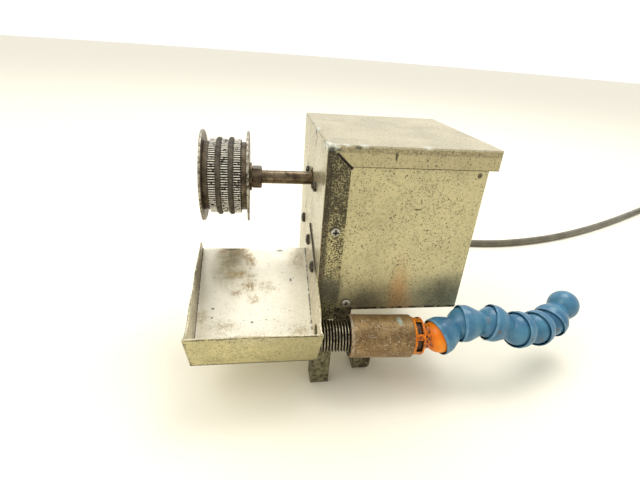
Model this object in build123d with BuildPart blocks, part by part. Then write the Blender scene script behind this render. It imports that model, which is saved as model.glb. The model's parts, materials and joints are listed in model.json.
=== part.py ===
"""Bench drill bit sharpener: a ribbed dressing drum on a motor spindle, in a sheet steel housing.

The housing holds a small skeleton motor.  Its spindle comes out of the left face and carries
the drum.  A tilted catch tray hangs on the left face, a pipe nipple and a coupling stand at the
tray's lower corner, and a jointed coolant hose runs from the coupling past the front panel.

Frame: +X right, +Y away from the operator, +Z up, millimetres.  The origin is on the surface
that the feet stand on, below the middle of the machine without its mains cord.
"""
import os
from math import cos, pi, radians, sin, sqrt, tan

from build123d import *

os.makedirs("parts", exist_ok=True)

# ---------------------------------------------------------------- driving dimensions
# Housing coordinates: X from the left face, Y from the front flange, Z from the front panel's foot.
left_x = -64.0             # left face in the part's frame
front_y = -39.2            # front flange in the part's frame
floor_gap = 49.5           # front panel's lower edge above the surface below the feet

sheet = 1.2                # galvanised sheet
house_w, house_d, house_h = 110.0, 114.0, 116.5
panel_w = 105.0            # the wrapper stops short of the cover's right end
flange_top = 13.0          # height of the cover's top flanges
flange_left = 15.2         # width of the cover's side flanges
cover_drop = 7.0           # the cover's left side hangs this far below the panels
bend_r = 1.6               # outside radius of the sheet's bends
bottom_t = 1.5

axis_y, axis_z = 57.0, 78.6
shaft_r = 4.7625           # 3/8 in spindle
shaft_end = -76.9          # outer end of the spindle
shaft_tail = 60.0          # inner end of the spindle
stack_right = -45.3        # right face of the drum's inner cheek disc

cheek_r, cheek_t = 32.0, 1.6
backing_r, backing_t = 24.0, 4.0
ribbed_r, ribbed_t = 26.2, 4.8
spacer_r, spacer_t = 27.4, 3.4
rib_count = 96
rib_depth = 1.3
bore_gap = 0.05            # radial clearance of the rings on the spindle

tray_w, tray_l, tray_h = 83.0, 94.0, 41.0
tray_left_back_h, tray_right_back_h = 9.0, 34.0
tray_t = 1.0
tray_tilt = 27.1
tray_front = (-19.2, -26.7)        # Y, Z of the lower front edge

pipe_y, pipe_z = -16.5, -7.7       # pipe axis where it meets the tray's right wall
pipe_yaw = 3.0                     # the pipe points this many degrees towards the operator
nipple_r, nipple_bore = 10.65, 7.9
thread_pitch = 1.98
thread_depth = 1.15
coupling_start, coupling_end = 20.5, 63.2
coupling_r = 14.3

ball_s = 84.5              # centre of the connector's ball, along the pipe axis
link_pitch = 20.9
ball_r, socket_in, socket_r = 11.5, 11.56, 12.9
hose_bore, neck_r = 6.5, 8.4
# heading from +X towards +Y and elevation of each hose link, degrees
link_angles = [(17.2, 14.0), (-4.0, 2.0), (-8.2, -11.8), (16.2, -10.4), (27.4, -3.6), (32.2, 17.6)]

cord_r = 4.1
relief_x, relief_z = 60.0, 14.0    # strain relief in the back panel
coil_mid_r = 49.2                  # middle of the coil's turns


def at(x, y, z):
    """A point given in housing coordinates."""
    return (left_x + x, front_y + y, floor_gap + z)


def facing_x(x):
    """Plane across X: its local axes are Y and Z, and it faces +X."""
    return Plane(origin=at(x, 0, 0), x_dir=(0, 1, 0), z_dir=(1, 0, 0))


def facing_y(y):
    """Plane across Y: its local axes are X and Z, and it faces -Y."""
    return Plane(origin=at(0, y, 0), x_dir=(1, 0, 0), z_dir=(0, -1, 0))


def facing_z(z):
    """Plane across Z: its local axes are X and Y, and it faces up."""
    return Plane(origin=at(0, 0, z))


def write(piece, name):
    """Label a finished piece and write it as its own STEP file."""
    piece.part.label = name
    export_step(piece.part, f"parts/{name}.step")


def slab(x, y, z):
    """Add a block given by its low and high limits along each axis, in housing coordinates."""
    with BuildSketch(facing_z(z[0])) as base:
        with Locations(((x[0] + x[1]) / 2, (y[0] + y[1]) / 2)):
            Rectangle(x[1] - x[0], y[1] - y[0])
    extrude(base.sketch, amount=z[1] - z[0])


# ---------------------------------------------------------------- housing
cover_screw_at = (9.0, 61.3)       # X, Z on the front flange, repeated on the back flange
tab_screw_at = (21.3, 6.2)         # X, Z of the screw that holds the middle leg's tab
back_screw_at = (30.0, 6.0)        # X, Z of the screw through the back panel into the bottom plate
screw_r, head_r, head_h = 1.75, 3.3, 2.3
motor_bolt_span = 41.2             # between the two long motor screws, along Y
motor_bolt_r = 2.0
tray_screws_at = [(18.4, 25.4), (46.0, 33.6), (88.4, 34.0)]     # Y, Z on the left face
tray_screw_head_r = 4.2

with BuildPart() as top_left_cover:
    slab((0, house_w), (0, house_d), (-cover_drop, house_h))
    fillet(top_left_cover.edges().filter_by(Axis.Y).sort_by(Axis.X)[:2].sort_by(Axis.Z)[-1], bend_r)
    with BuildSketch(facing_z(-cover_drop)):
        with Locations(((sheet + house_w) / 2, house_d / 2)):
            Rectangle(house_w - sheet, house_d - 2 * sheet)
    extrude(amount=house_h + cover_drop - sheet, mode=Mode.SUBTRACT)
    # the front and back walls keep only their flanges, and a thin V parts them at the mitre
    with BuildSketch(facing_y(house_d)):
        with BuildLine():
            Polyline(
                (flange_left, -cover_drop),
                (flange_left, house_h - flange_top - 1.0),
                (5.5, house_h - 4.6),
                (flange_left + 1.2, house_h - flange_top),
                (house_w, house_h - flange_top),
                (house_w, -cover_drop),
                close=True,
            )
        make_face()
    extrude(amount=house_d, mode=Mode.SUBTRACT)
    # spindle hole, motor screw holes and tray screw holes in the left side
    with BuildSketch(facing_x(0)):
        with Locations((axis_y, axis_z)):
            Circle(8.0)
        with Locations((axis_y - motor_bolt_span / 2, axis_z), (axis_y + motor_bolt_span / 2, axis_z)):
            Circle(motor_bolt_r + bore_gap)
        with Locations(*tray_screws_at):
            Circle(screw_r + bore_gap)
    extrude(amount=sheet, mode=Mode.SUBTRACT)
    with BuildSketch(facing_y(house_d)):
        with Locations(cover_screw_at):
            Circle(screw_r + bore_gap)
    extrude(amount=house_d, mode=Mode.SUBTRACT)
write(top_left_cover, "top_left_cover")

with BuildPart() as wrapper_panel:
    slab((sheet, panel_w), (sheet, house_d - sheet), (0, house_h - sheet))
    fillet(wrapper_panel.edges().filter_by(Axis.Z).group_by(Axis.X)[-1], bend_r)
    with BuildSketch(facing_z(0)):
        with Locations((panel_w / 2, house_d / 2)):
            Rectangle(panel_w - 2 * sheet, house_d - 4 * sheet)
    extrude(amount=house_h, mode=Mode.SUBTRACT)
    with BuildSketch(facing_y(house_d)):
        with Locations(cover_screw_at):
            Circle(screw_r + bore_gap)
    extrude(amount=house_d, mode=Mode.SUBTRACT)
    with BuildSketch(facing_y(2 * sheet)):
        with Locations(tab_screw_at):
            Circle(screw_r + bore_gap)
    extrude(amount=sheet, mode=Mode.SUBTRACT)
    with BuildSketch(facing_y(house_d - sheet)):
        with Locations((relief_x, relief_z)):
            Circle(6.5)
        with Locations(back_screw_at):
            Circle(screw_r + bore_gap)
    extrude(amount=sheet, mode=Mode.SUBTRACT)
write(wrapper_panel, "wrapper_panel")

leg_side = 12.7
tab_x = (14.6, 26.4)               # middle leg's tab behind the front panel
rear_leg_x = (14.4, 92.4)
rear_leg_y = 100.4
front_leg_screw = (6.4, 8.0)

with BuildPart() as bottom_plate:
    slab((sheet, panel_w - sheet), (2 * sheet, house_d - 2 * sheet), (0, bottom_t))
    slab((sheet, panel_w - sheet), (house_d - 3 * sheet, house_d - 2 * sheet), (0, 12.0))
    slab((40.0, panel_w - sheet), (2 * sheet, 3 * sheet), (0, 12.0))
    with BuildSketch(facing_z(0)):
        with Locations(((tab_x[0] + tab_x[1]) / 2, 2 * sheet)):
            Rectangle(tab_x[1] - tab_x[0] + 1.0, 8.0)
        with Locations(front_leg_screw, (rear_leg_x[0], rear_leg_y), (rear_leg_x[1], rear_leg_y)):
            Circle(2.0 + bore_gap)
    extrude(amount=bottom_t, mode=Mode.SUBTRACT)
    with BuildSketch(facing_y(house_d - 2 * sheet)):
        with Locations(back_screw_at):
            Circle(screw_r + bore_gap)
        with Locations((relief_x, relief_z)):
            Circle(9.5)
    extrude(amount=sheet, mode=Mode.SUBTRACT)
write(bottom_plate, "bottom_plate")


def pan_screw(plane, spots, length, shank=screw_r, head=head_r, height=head_h):
    """Add pan head cross recess screws: heads stand out of the plane, shanks go behind it."""
    with BuildSketch(plane) as heads:
        with Locations(*spots):
            Circle(head)
    extrude(heads.sketch, amount=height, taper=14)
    with BuildSketch(plane) as shanks:
        with Locations(*spots):
            Circle(shank)
    extrude(shanks.sketch, amount=-length)
    with BuildSketch(plane.offset(height - 1.3)) as recesses:
        with Locations(*spots):
            Rectangle(head, 0.9)
            Rectangle(0.9, head)
    extrude(recesses.sketch, amount=1.3, mode=Mode.SUBTRACT)


back_out = Plane(origin=at(0, house_d, 0), x_dir=(1, 0, 0), z_dir=(0, 1, 0))
back_panel_out = Plane(origin=at(0, house_d - sheet, 0), x_dir=(1, 0, 0), z_dir=(0, 1, 0))
left_out = Plane(origin=at(0, 0, 0), x_dir=(0, 1, 0), z_dir=(-1, 0, 0))

with BuildPart() as cover_screws:
    pan_screw(facing_y(0), [cover_screw_at], 9.0)
    pan_screw(back_out, [(cover_screw_at[0], -cover_screw_at[1])], 9.0)
write(cover_screws, "cover_screws")

with BuildPart() as panel_screws:
    pan_screw(facing_y(sheet), [tab_screw_at], 7.0)
    pan_screw(back_panel_out, [(back_screw_at[0], -back_screw_at[1])], 7.0)
write(panel_screws, "panel_screws")

# ---------------------------------------------------------------- legs
tray_leg_x = (-2.6, 10.2)
tray_leg_y = (-17.0, -4.3)
neck_x = 0.6
strap_t = 4.0
neck_top = -20.0

with BuildPart() as front_left_leg:
    slab(tray_leg_x, tray_leg_y, (-floor_gap, -28.6))
    slab((neck_x, tray_leg_x[1]), tray_leg_y, (-28.6, neck_top))
    slab((neck_x, tray_leg_x[1]), (tray_leg_y[0], 12.0), (neck_top - strap_t, neck_top))
    slab((2.4, tray_leg_x[1]), (4.0, 12.0), (neck_top, 0))
    with BuildSketch(facing_z(0)):
        with Locations(front_leg_screw):
            Circle(2.0)
    extrude(amount=-12.0, mode=Mode.SUBTRACT)
    chamfer(front_left_leg.edges().filter_by(Axis.X).group_by(Axis.Z)[0], 0.6)
write(front_left_leg, "front_left_leg")

mid_leg_x = (30.6, 43.6)
with BuildPart() as front_middle_leg:
    with BuildSketch(facing_y(2 * sheet)):
        with BuildLine():
            Polyline(
                (tab_x[0], 11.0),
                (tab_x[1], 11.0),
                (tab_x[1], -9.0),
                (mid_leg_x[1], -30.0),
                (mid_leg_x[1], -floor_gap),
                (mid_leg_x[0], -floor_gap),
                (mid_leg_x[0], -36.0),
                (tab_x[0], -15.0),
                close=True,
            )
        make_face()
    extrude(amount=-3.0)
    slab(mid_leg_x, (-4.3, 8.4), (-floor_gap, -38.0))
    fillet(front_middle_leg.edges().filter_by(Axis.Y).group_by(Axis.Z)[0].sort_by(Axis.X)[-1], 3.0)
    with BuildSketch(facing_y(2 * sheet)):
        with Locations(tab_screw_at):
            Circle(screw_r)
    extrude(amount=-3.0, mode=Mode.SUBTRACT)
write(front_middle_leg, "front_middle_leg")

for side, leg_x in zip(("left", "right"), rear_leg_x):
    with BuildPart() as rear_leg:
        half = leg_side / 2
        slab((leg_x - half, leg_x + half), (rear_leg_y - half, rear_leg_y + half), (-floor_gap, 0))
        with BuildSketch(facing_z(0)):
            with Locations((leg_x, rear_leg_y)):
                Circle(2.0)
        extrude(amount=-12.0, mode=Mode.SUBTRACT)
        chamfer(rear_leg.edges().group_by(Axis.Z)[0], 0.6)
    write(rear_leg, f"rear_{side}_leg")

with BuildPart() as leg_screws:
    leg_spots = [front_leg_screw, (rear_leg_x[0], rear_leg_y), (rear_leg_x[1], rear_leg_y)]
    pan_screw(facing_z(bottom_t), leg_spots, bottom_t + 9.0, shank=2.0, head=3.8)
write(leg_screws, "leg_screws")

# ---------------------------------------------------------------- catch tray
tilt = radians(tray_tilt)
tray_x_dir = (1, 0, 0)
tray_up = (0, -sin(tilt), cos(tilt))
tray_origin = at(-tray_w, tray_front[0], tray_front[1])
tray_floor_plane = Plane(origin=tray_origin, x_dir=tray_x_dir, z_dir=tray_up)
tray_side_plane = Plane(origin=tray_origin, x_dir=(0, cos(tilt), sin(tilt)), z_dir=(1, 0, 0))


def tray_wall(offset, back_height, extra=()):
    """Add a side wall of the tray, tapering from the front wall's height to its own at the back."""
    with BuildSketch(tray_side_plane.offset(offset)) as wall:
        with BuildLine():
            Polyline((0, 0), (tray_l, 0), (tray_l, back_height), *extra, (0, tray_h), close=True)
        make_face()
    extrude(wall.sketch, amount=tray_t)


def in_tray(y, z):
    """Coordinates along the tray's floor and up its walls, of a point at housing Y and Z."""
    dy = y - tray_front[0]
    dz = z - tray_front[1]
    return (dy * cos(tilt) + dz * sin(tilt), -dy * sin(tilt) + dz * cos(tilt))


with BuildPart() as catch_tray:
    with BuildSketch(tray_floor_plane):
        Rectangle(tray_w, tray_l, align=(Align.MIN, Align.MIN))
    extrude(amount=tray_t)
    with BuildSketch(tray_floor_plane):
        Rectangle(tray_w, tray_t, align=(Align.MIN, Align.MIN))
    extrude(amount=tray_h)
    tray_wall(0, tray_left_back_h + 5.0, extra=((tray_l - 1.6, tray_left_back_h),))
    tray_wall(tray_w - tray_t, tray_right_back_h)
    with BuildSketch(tray_side_plane.offset(tray_w - tray_t)):
        with Locations(in_tray(pipe_y, pipe_z)):
            Circle(nipple_bore)
        with Locations(*[in_tray(y, z) for y, z in tray_screws_at[:2]]):
            Circle(screw_r + bore_gap)
    extrude(amount=tray_t, mode=Mode.SUBTRACT)
write(catch_tray, "catch_tray")

with BuildPart() as tray_screws:
    tray_spots = [(y, -z) for y, z in tray_screws_at]
    pan_screw(left_out.offset(tray_t), tray_spots[:2], tray_t + 3.2, head=tray_screw_head_r)
    pan_screw(left_out, tray_spots[2:], 3.2, head=tray_screw_head_r)
write(tray_screws, "tray_screws")

# ---------------------------------------------------------------- motor
core_x = (13.0, 41.0)
core_half = 38.0
core_top = axis_z + 25.0
leg_bottom = 20.6
leg_top = 35.6
window_top = 56.0
window_half = 25.0
rotor_r = 15.6
core_bore = 16.2
hub_r, bush_r = 10.0, 7.0
bracket_half, bracket_h = 27.0, 17.0
bolt_spots = [(axis_y - motor_bolt_span / 2, axis_z), (axis_y + motor_bolt_span / 2, axis_z)]

with BuildPart() as stator_core:
    with BuildSketch(facing_x(core_x[0])):
        with Locations((axis_y, (core_top + leg_bottom) / 2)):
            RectangleRounded(2 * core_half, core_top - leg_bottom, 4.0)
        with Locations((axis_y, (leg_top + window_top) / 2)):
            Rectangle(2 * window_half, window_top - leg_top, mode=Mode.SUBTRACT)
        with Locations((axis_y, axis_z)):
            Circle(core_bore, mode=Mode.SUBTRACT)
        with Locations(*bolt_spots):
            Circle(motor_bolt_r + bore_gap, mode=Mode.SUBTRACT)
    extrude(amount=core_x[1] - core_x[0])
write(stator_core, "stator_core")

coil_gap, coil_wall = 0.4, 9.0
leg_mid = (leg_bottom + leg_top) / 2
leg_h = leg_top - leg_bottom
core_len = core_x[1] - core_x[0]
core_mid = sum(core_x) / 2
coil_half = 22.0
with BuildPart() as stator_winding:
    with BuildSketch(facing_y(axis_y + coil_half)):
        with Locations((core_mid, leg_mid)):
            RectangleRounded(core_len + 2 * coil_wall, leg_h + 2 * coil_wall, 6.0)
            Rectangle(core_len + 2 * coil_gap, leg_h + 2 * coil_gap, mode=Mode.SUBTRACT)
    extrude(amount=2 * coil_half)
write(stator_winding, "stator_winding")

with BuildPart() as shading_rings:
    for sign in (-1, 1):
        with BuildSketch(facing_x(core_x[0] - 2.0)):
            with Locations((axis_y + sign * 23.5, axis_z + sign * 14.0)):
                RectangleRounded(9.0, 7.0, 2.0)
        extrude(amount=2.0)
write(shading_rings, "shading_rings")


def round_bosses(x, radius, spots, mode=Mode.ADD):
    """Add or cut cylinders along X, from one X to the other, centred on (Y, Z) spots."""
    with BuildSketch(facing_x(x[0])) as discs:
        with Locations(*spots):
            Circle(radius)
    extrude(discs.sketch, amount=x[1] - x[0], mode=mode)


def bearing_bracket(bar_x, post_x, hub_x):
    """Add a bar with a bearing hub in its middle and two posts that reach the core."""
    with BuildSketch(facing_x(bar_x[0])) as bar:
        with Locations((axis_y, axis_z)):
            RectangleRounded(2 * bracket_half, bracket_h, 5.0)
    extrude(bar.sketch, amount=bar_x[1] - bar_x[0])
    round_bosses(post_x, 4.4, bolt_spots)
    round_bosses(hub_x, hub_r, [(axis_y, axis_z)])
    low = min(bar_x[0], post_x[0], hub_x[0])
    high = max(bar_x[1], post_x[1], hub_x[1])
    round_bosses((low, high), motor_bolt_r + bore_gap, bolt_spots, Mode.SUBTRACT)
    round_bosses((low, high), bush_r, [(axis_y, axis_z)], Mode.SUBTRACT)


with BuildPart() as left_bearing_bracket:
    bearing_bracket((sheet, 5.2), (sheet, core_x[0]), (sheet, 9.0))
write(left_bearing_bracket, "left_bearing_bracket")

with BuildPart() as right_bearing_bracket:
    bearing_bracket((49.0, 53.0), (core_x[1], 53.0), (47.0, 57.0))
write(right_bearing_bracket, "right_bearing_bracket")

for side, bush_x in (("left", (1.6, 9.0)), ("right", (47.0, 57.0))):
    with BuildPart() as bush:
        with BuildSketch(facing_x(bush_x[0])):
            with Locations((axis_y, axis_z)):
                Circle(bush_r)
                Circle(shaft_r + bore_gap, mode=Mode.SUBTRACT)
        extrude(amount=bush_x[1] - bush_x[0])
    write(bush, f"{side}_bearing_bush")

with BuildPart() as rotor:
    with BuildSketch(facing_x(core_x[0])):
        with Locations((axis_y, axis_z)):
            Circle(rotor_r)
    extrude(amount=core_len)
    with BuildSketch(facing_x(core_x[0] - 2.0)):
        with Locations((axis_y, axis_z)):
            Circle(rotor_r - 2.5)
    extrude(amount=core_len + 4.0)
    with BuildSketch(facing_x(core_x[0] - 2.0)):
        with Locations((axis_y, axis_z)):
            Circle(shaft_r)
    extrude(amount=core_len + 4.0, mode=Mode.SUBTRACT)
write(rotor, "rotor")

with BuildPart() as thrust_washers:
    for washer_x in (9.6, 44.6):
        with BuildSketch(facing_x(washer_x)):
            with Locations((axis_y, axis_z)):
                Circle(7.5)
                Circle(shaft_r, mode=Mode.SUBTRACT)
        extrude(amount=1.0)
write(thrust_washers, "thrust_washers")

motor_bolt_end = 60.0
with BuildPart() as motor_screws:
    pan_screw(left_out, [(y, -z) for y, z in bolt_spots], motor_bolt_end, shank=motor_bolt_r, head=3.4)
write(motor_screws, "motor_screws")

with BuildPart() as motor_nuts:
    with BuildSketch(facing_x(53.0)):
        with Locations(*bolt_spots):
            RegularPolygon(3.9, 6, major_radius=False)
            Circle(motor_bolt_r, mode=Mode.SUBTRACT)
    extrude(amount=3.2)
write(motor_nuts, "motor_nuts")

# ---------------------------------------------------------------- spindle and drum
end_hole_r = 3.0
with BuildPart() as spindle_shaft:
    with BuildSketch(facing_x(shaft_end)):
        with Locations((axis_y, axis_z)):
            Circle(shaft_r)
    extrude(amount=shaft_tail - shaft_end)
    chamfer(spindle_shaft.edges().group_by(Axis.X)[-1], 0.6)
    with BuildSketch(facing_x(shaft_end)):
        with Locations((axis_y, axis_z)):
            Circle(end_hole_r)
    extrude(amount=14.0, mode=Mode.SUBTRACT)
write(spindle_shaft, "spindle_shaft")


def ring(x, width, outer):
    """Add a plain ring on the spindle axis, its left face at x."""
    with BuildSketch(facing_x(x)) as annulus:
        with Locations((axis_y, axis_z)):
            Circle(outer)
            Circle(shaft_r + bore_gap, mode=Mode.SUBTRACT)
    extrude(annulus.sketch, amount=width)


# the drum from right to left: name, thickness, radius
stack = [
    ("inner_cheek_disc", cheek_t, cheek_r),
    ("inner_backing_disc", backing_t, backing_r),
    ("ribbed_ring_3", ribbed_t, ribbed_r),
    ("spacer_ring_2", spacer_t, spacer_r),
    ("ribbed_ring_2", ribbed_t, ribbed_r),
    ("spacer_ring_1", spacer_t, spacer_r),
    ("ribbed_ring_1", ribbed_t, ribbed_r),
    ("outer_backing_disc", backing_t, backing_r),
    ("outer_cheek_disc", cheek_t, cheek_r),
]
stack_x = stack_right
for name, width, radius in stack:
    stack_x -= width
    with BuildPart() as drum_piece:
        ring(stack_x, width, radius)
        if name.startswith("ribbed"):
            rib_width = pi * ribbed_r / rib_count
            with BuildSketch(facing_x(stack_x)):
                with Locations((axis_y, axis_z)):
                    with PolarLocations(ribbed_r, rib_count):
                        Rectangle(2 * rib_depth, rib_width)
            extrude(amount=width, mode=Mode.SUBTRACT)
        elif name.startswith("spacer"):
            rims = drum_piece.edges().filter_by(GeomType.CIRCLE).sort_by(SortBy.RADIUS)[-2:]
            fillet(rims, 1.3)
    write(drum_piece, name)

with BuildPart() as spindle_washer:
    ring(stack_right, 1.7, 10.0)
write(spindle_washer, "spindle_washer")

nut_t = 7.0
with BuildPart() as spindle_nut:
    nut_x = stack_right + 1.7
    with BuildSketch(facing_x(nut_x)):
        with Locations((axis_y, axis_z)):
            RegularPolygon(7.14, 6, major_radius=False)
    extrude(amount=nut_t)
    # the corners of a hexagon nut are turned off at 30 degrees on both faces
    corner_r = 7.14 / cos(radians(30))
    with BuildSketch(Plane(origin=at(nut_x, axis_y, axis_z), x_dir=(1, 0, 0), z_dir=(0, -1, 0))):
        with BuildLine():
            Polyline(
                (-0.1, 7.3),
                (0, 7.3),
                (0.75, corner_r + 0.3),
                (nut_t - 0.75, corner_r + 0.3),
                (nut_t, 7.3),
                (nut_t + 0.1, 7.3),
                (nut_t + 0.1, corner_r + 2.0),
                (-0.1, corner_r + 2.0),
                close=True,
            )
        make_face()
    revolve(axis=Axis(at(nut_x, axis_y, axis_z), (1, 0, 0)), mode=Mode.SUBTRACT)
    with BuildSketch(facing_x(nut_x)):
        with Locations((axis_y, axis_z)):
            Circle(shaft_r + bore_gap)
    extrude(amount=nut_t, mode=Mode.SUBTRACT)
write(spindle_nut, "spindle_nut")

with BuildPart() as end_screw:
    with BuildSketch(facing_x(stack_x)):
        with Locations((axis_y, axis_z)):
            Circle(8.0)
    extrude(amount=-2.4, taper=20)
    with BuildSketch(facing_x(stack_x)):
        with Locations((axis_y, axis_z)):
            Circle(end_hole_r)
    extrude(amount=12.0)
    with BuildSketch(facing_x(stack_x - 2.4)):
        with Locations((axis_y, axis_z)):
            Rectangle(11.0, 1.4)
    extrude(amount=1.2, mode=Mode.SUBTRACT)
write(end_screw, "end_screw")

# ---------------------------------------------------------------- pipe and connector
yaw = radians(pipe_yaw)
pipe_dir = (cos(yaw), -sin(yaw), 0)
pipe_origin = at(0, pipe_y, pipe_z)
pipe_axis = Axis(pipe_origin, pipe_dir)
# local x runs along the pipe and local y is the radius
pipe_profile = Plane(origin=pipe_origin, x_dir=pipe_dir, z_dir=(-sin(yaw), -cos(yaw), 0))


def turned(outline, axis=pipe_axis, plane=pipe_profile):
    """Add the solid of revolution of a closed outline of (along, radius) points."""
    with BuildSketch(plane) as section:
        with BuildLine():
            Polyline(*outline, close=True)
        make_face()
    revolve(section.sketch, axis=axis)


nipple_end = coupling_start + 14.0
thread_root = nipple_r - thread_depth
with BuildPart() as pipe_nipple:
    crests = []
    crest_s = -2.0
    while crest_s < nipple_end - thread_pitch:
        crests += [
            (crest_s, thread_root),
            (crest_s + 0.4 * thread_pitch, nipple_r),
            (crest_s + 0.6 * thread_pitch, nipple_r),
        ]
        crest_s += thread_pitch
    turned([(-2.0, nipple_bore), *crests, (nipple_end, thread_root), (nipple_end, nipple_bore)])
    # the nipple is welded flat against the tray's right wall
    slab_x = (-6.0, 0.0)
    with BuildSketch(facing_x(slab_x[0])):
        with Locations((pipe_y, pipe_z)):
            Rectangle(60, 60)
    extrude(amount=slab_x[1] - slab_x[0], mode=Mode.SUBTRACT)
write(pipe_nipple, "pipe_nipple")

tap_r = nipple_r + 0.05
with BuildPart() as pipe_coupling:
    turned([
        (coupling_start, tap_r + 0.9),
        (coupling_start, coupling_r - 0.8),
        (coupling_start + 0.8, coupling_r),
        (coupling_end - 0.8, coupling_r),
        (coupling_end, coupling_r - 0.8),
        (coupling_end, tap_r + 0.9),
        (coupling_end - 1.0, tap_r),
        (coupling_end - 19.0, tap_r),
        (coupling_end - 20.0, tap_r - 1.6),
        (coupling_start + 20.0, tap_r - 1.6),
        (coupling_start + 19.0, tap_r),
        (coupling_start + 1.0, tap_r),
    ])
write(pipe_coupling, "pipe_coupling")

collar = (coupling_end + 0.3, coupling_end + 7.4)
collar_r = 12.7
ball_cut = 7.3             # the ball is cut off square this far past its centre
pocket_count, pocket_turn = 6, 33.0
pocket_w, pocket_depth = 8.8, 2.3


def ball_outline(centre, start_r):
    """Distances along the axis where a ball begins and ends, and its radius where it ends."""
    begin = centre - sqrt(ball_r**2 - start_r**2)
    end = centre + ball_cut
    return begin, end, sqrt(ball_r**2 - ball_cut**2)


with BuildPart() as hose_connector:
    begin, end, end_r = ball_outline(ball_s, neck_r)
    with BuildSketch(pipe_profile):
        with BuildLine():
            Polyline(
                (begin, neck_r),
                (collar[1], neck_r),
                (collar[1], collar_r - 0.6),
                (collar[1] - 0.6, collar_r),
                (collar[0] + 0.6, collar_r),
                (collar[0], collar_r - 0.6),
                (collar[0], nipple_r - 0.2),
                (coupling_end - 15.0, nipple_r - 0.5),
                (coupling_end - 16.0, nipple_r - 1.4),
                (coupling_end - 16.0, hose_bore),
                (end, hose_bore),
                (end, end_r),
            )
            ThreePointArc((end, end_r), (ball_s, ball_r), (begin, neck_r))
        make_face()
    revolve(axis=pipe_axis)
    # six wide pockets around the collar
    pocket_at = pipe_profile.from_local_coords((collar[0] + 1.7, 0, 0))
    with BuildSketch(Plane(origin=pocket_at, x_dir=(0, 0, 1), z_dir=pipe_dir)):
        with PolarLocations(collar_r, pocket_count, start_angle=pocket_turn):
            Rectangle(2 * pocket_depth, pocket_w)
    extrude(amount=3.9, mode=Mode.SUBTRACT)
write(hose_connector, "hose_connector")

# ---------------------------------------------------------------- jointed hose
rim_s = -3.2               # the socket's rim, behind the centre of the ball that it holds
rim_in = sqrt(socket_in**2 - rim_s**2)
rim_out = sqrt(socket_r**2 - rim_s**2)
throat_s = sqrt(socket_in**2 - hose_bore**2)
joint_centre = Vector(*pipe_origin) + Vector(*pipe_dir) * ball_s
for index, (heading, elevation) in enumerate(link_angles, start=1):
    h, e = radians(heading), radians(elevation)
    along = Vector(cos(h) * cos(e), sin(h) * cos(e), sin(e))
    side = Vector(sin(h), -cos(h), 0)
    profile = Plane(origin=joint_centre, x_dir=along, z_dir=side)
    begin, end, end_r = ball_outline(link_pitch, neck_r)
    with BuildPart() as hose_link:
        with BuildSketch(profile):
            with BuildLine():
                ThreePointArc((rim_s, rim_in), (0, socket_in), (throat_s, hose_bore))
                Polyline((throat_s, hose_bore), (end, hose_bore), (end, end_r))
                ThreePointArc((end, end_r), (link_pitch, ball_r), (begin, neck_r))
                Line((begin, neck_r), (12.4, neck_r))
                Line((12.4, neck_r), (2.6, socket_r - 0.15))
                ThreePointArc((2.6, socket_r - 0.15), (0, socket_r), (rim_s, rim_out))
                Line((rim_s, rim_out), (rim_s, rim_in))
            make_face()
        revolve(axis=Axis(joint_centre, along))
    write(hose_link, f"hose_link_{index}")
    print(f"link {index} from", [round(v, 2) for v in joint_centre])
    joint_centre = joint_centre + along * link_pitch

# ---------------------------------------------------------------- wiring inside
with BuildPart() as cord_tail:
    with BuildSketch(facing_y(108.0)):
        with Locations((relief_x, relief_z)):
            Circle(cord_r)
    extrude(amount=16.0)
write(cord_tail, "cord_tail")


def wire(points, radius, bend):
    """Add a round wire along straight runs joined by arcs."""
    with BuildLine() as path:
        FilletPolyline(*points, radius=bend)
    with BuildSketch(Plane(origin=path.line @ 0, z_dir=path.line % 0)) as section:
        Circle(radius)
    sweep(section.sketch, path=path.line)


nut_spots = [(72.0, 74.0), (72.0, 62.0)]       # X, Y of each wire nut
lead_r, winding_lead_r, ground_r = 1.2, 0.9, 1.0
with BuildPart() as lead_wires:
    for row, (nut_px, nut_py) in enumerate(nut_spots):
        apart = 2.0 if row == 0 else -2.0
        from_cord = [
            at(relief_x + apart, 91.9, relief_z),
            at(relief_x + apart, 86.0, relief_z),
            at(nut_px + 15.0, nut_py + 4.0, 8.0 + 4.0 * row),
            at(nut_px + 2.2, nut_py, 6.0),
        ]
        wire(from_cord, lead_r, 2.4)
        to_winding = [
            at(nut_px - 11.0, nut_py, 6.0),
            at(nut_px - 15.0, nut_py, 6.0),
            at(core_x[1] + 11.5, nut_py, 18.0),
            at(core_x[1] + 11.5, nut_py, 26.0),
        ]
        wire(to_winding, winding_lead_r, 2.0)
write(lead_wires, "lead_wires")

with BuildPart() as wire_nuts:
    for nut_px, nut_py in nut_spots:
        with BuildSketch(facing_x(nut_px + 1.0)):
            with Locations((nut_py, 6.0)):
                Circle(4.2)
        extrude(amount=-12.0, taper=9)
write(wire_nuts, "wire_nuts")

ground_at = (40.0, 92.0)
with BuildPart() as ground_wire:
    to_screw = [
        at(relief_x - 0.4, 91.9, relief_z - 2.8),
        at(relief_x - 0.4, 86.0, relief_z - 2.8),
        at(ground_at[0] + 8.0, ground_at[1] - 2.0, 3.0),
        at(ground_at[0] + 3.0, ground_at[1], 3.0),
    ]
    wire(to_screw, ground_r, 2.0)
write(ground_wire, "ground_wire")

with BuildPart() as ground_screw:
    pan_screw(facing_z(bottom_t + 3.0), [ground_at], 3.0, shank=2.0, head=3.8)
write(ground_screw, "ground_screw")

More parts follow.
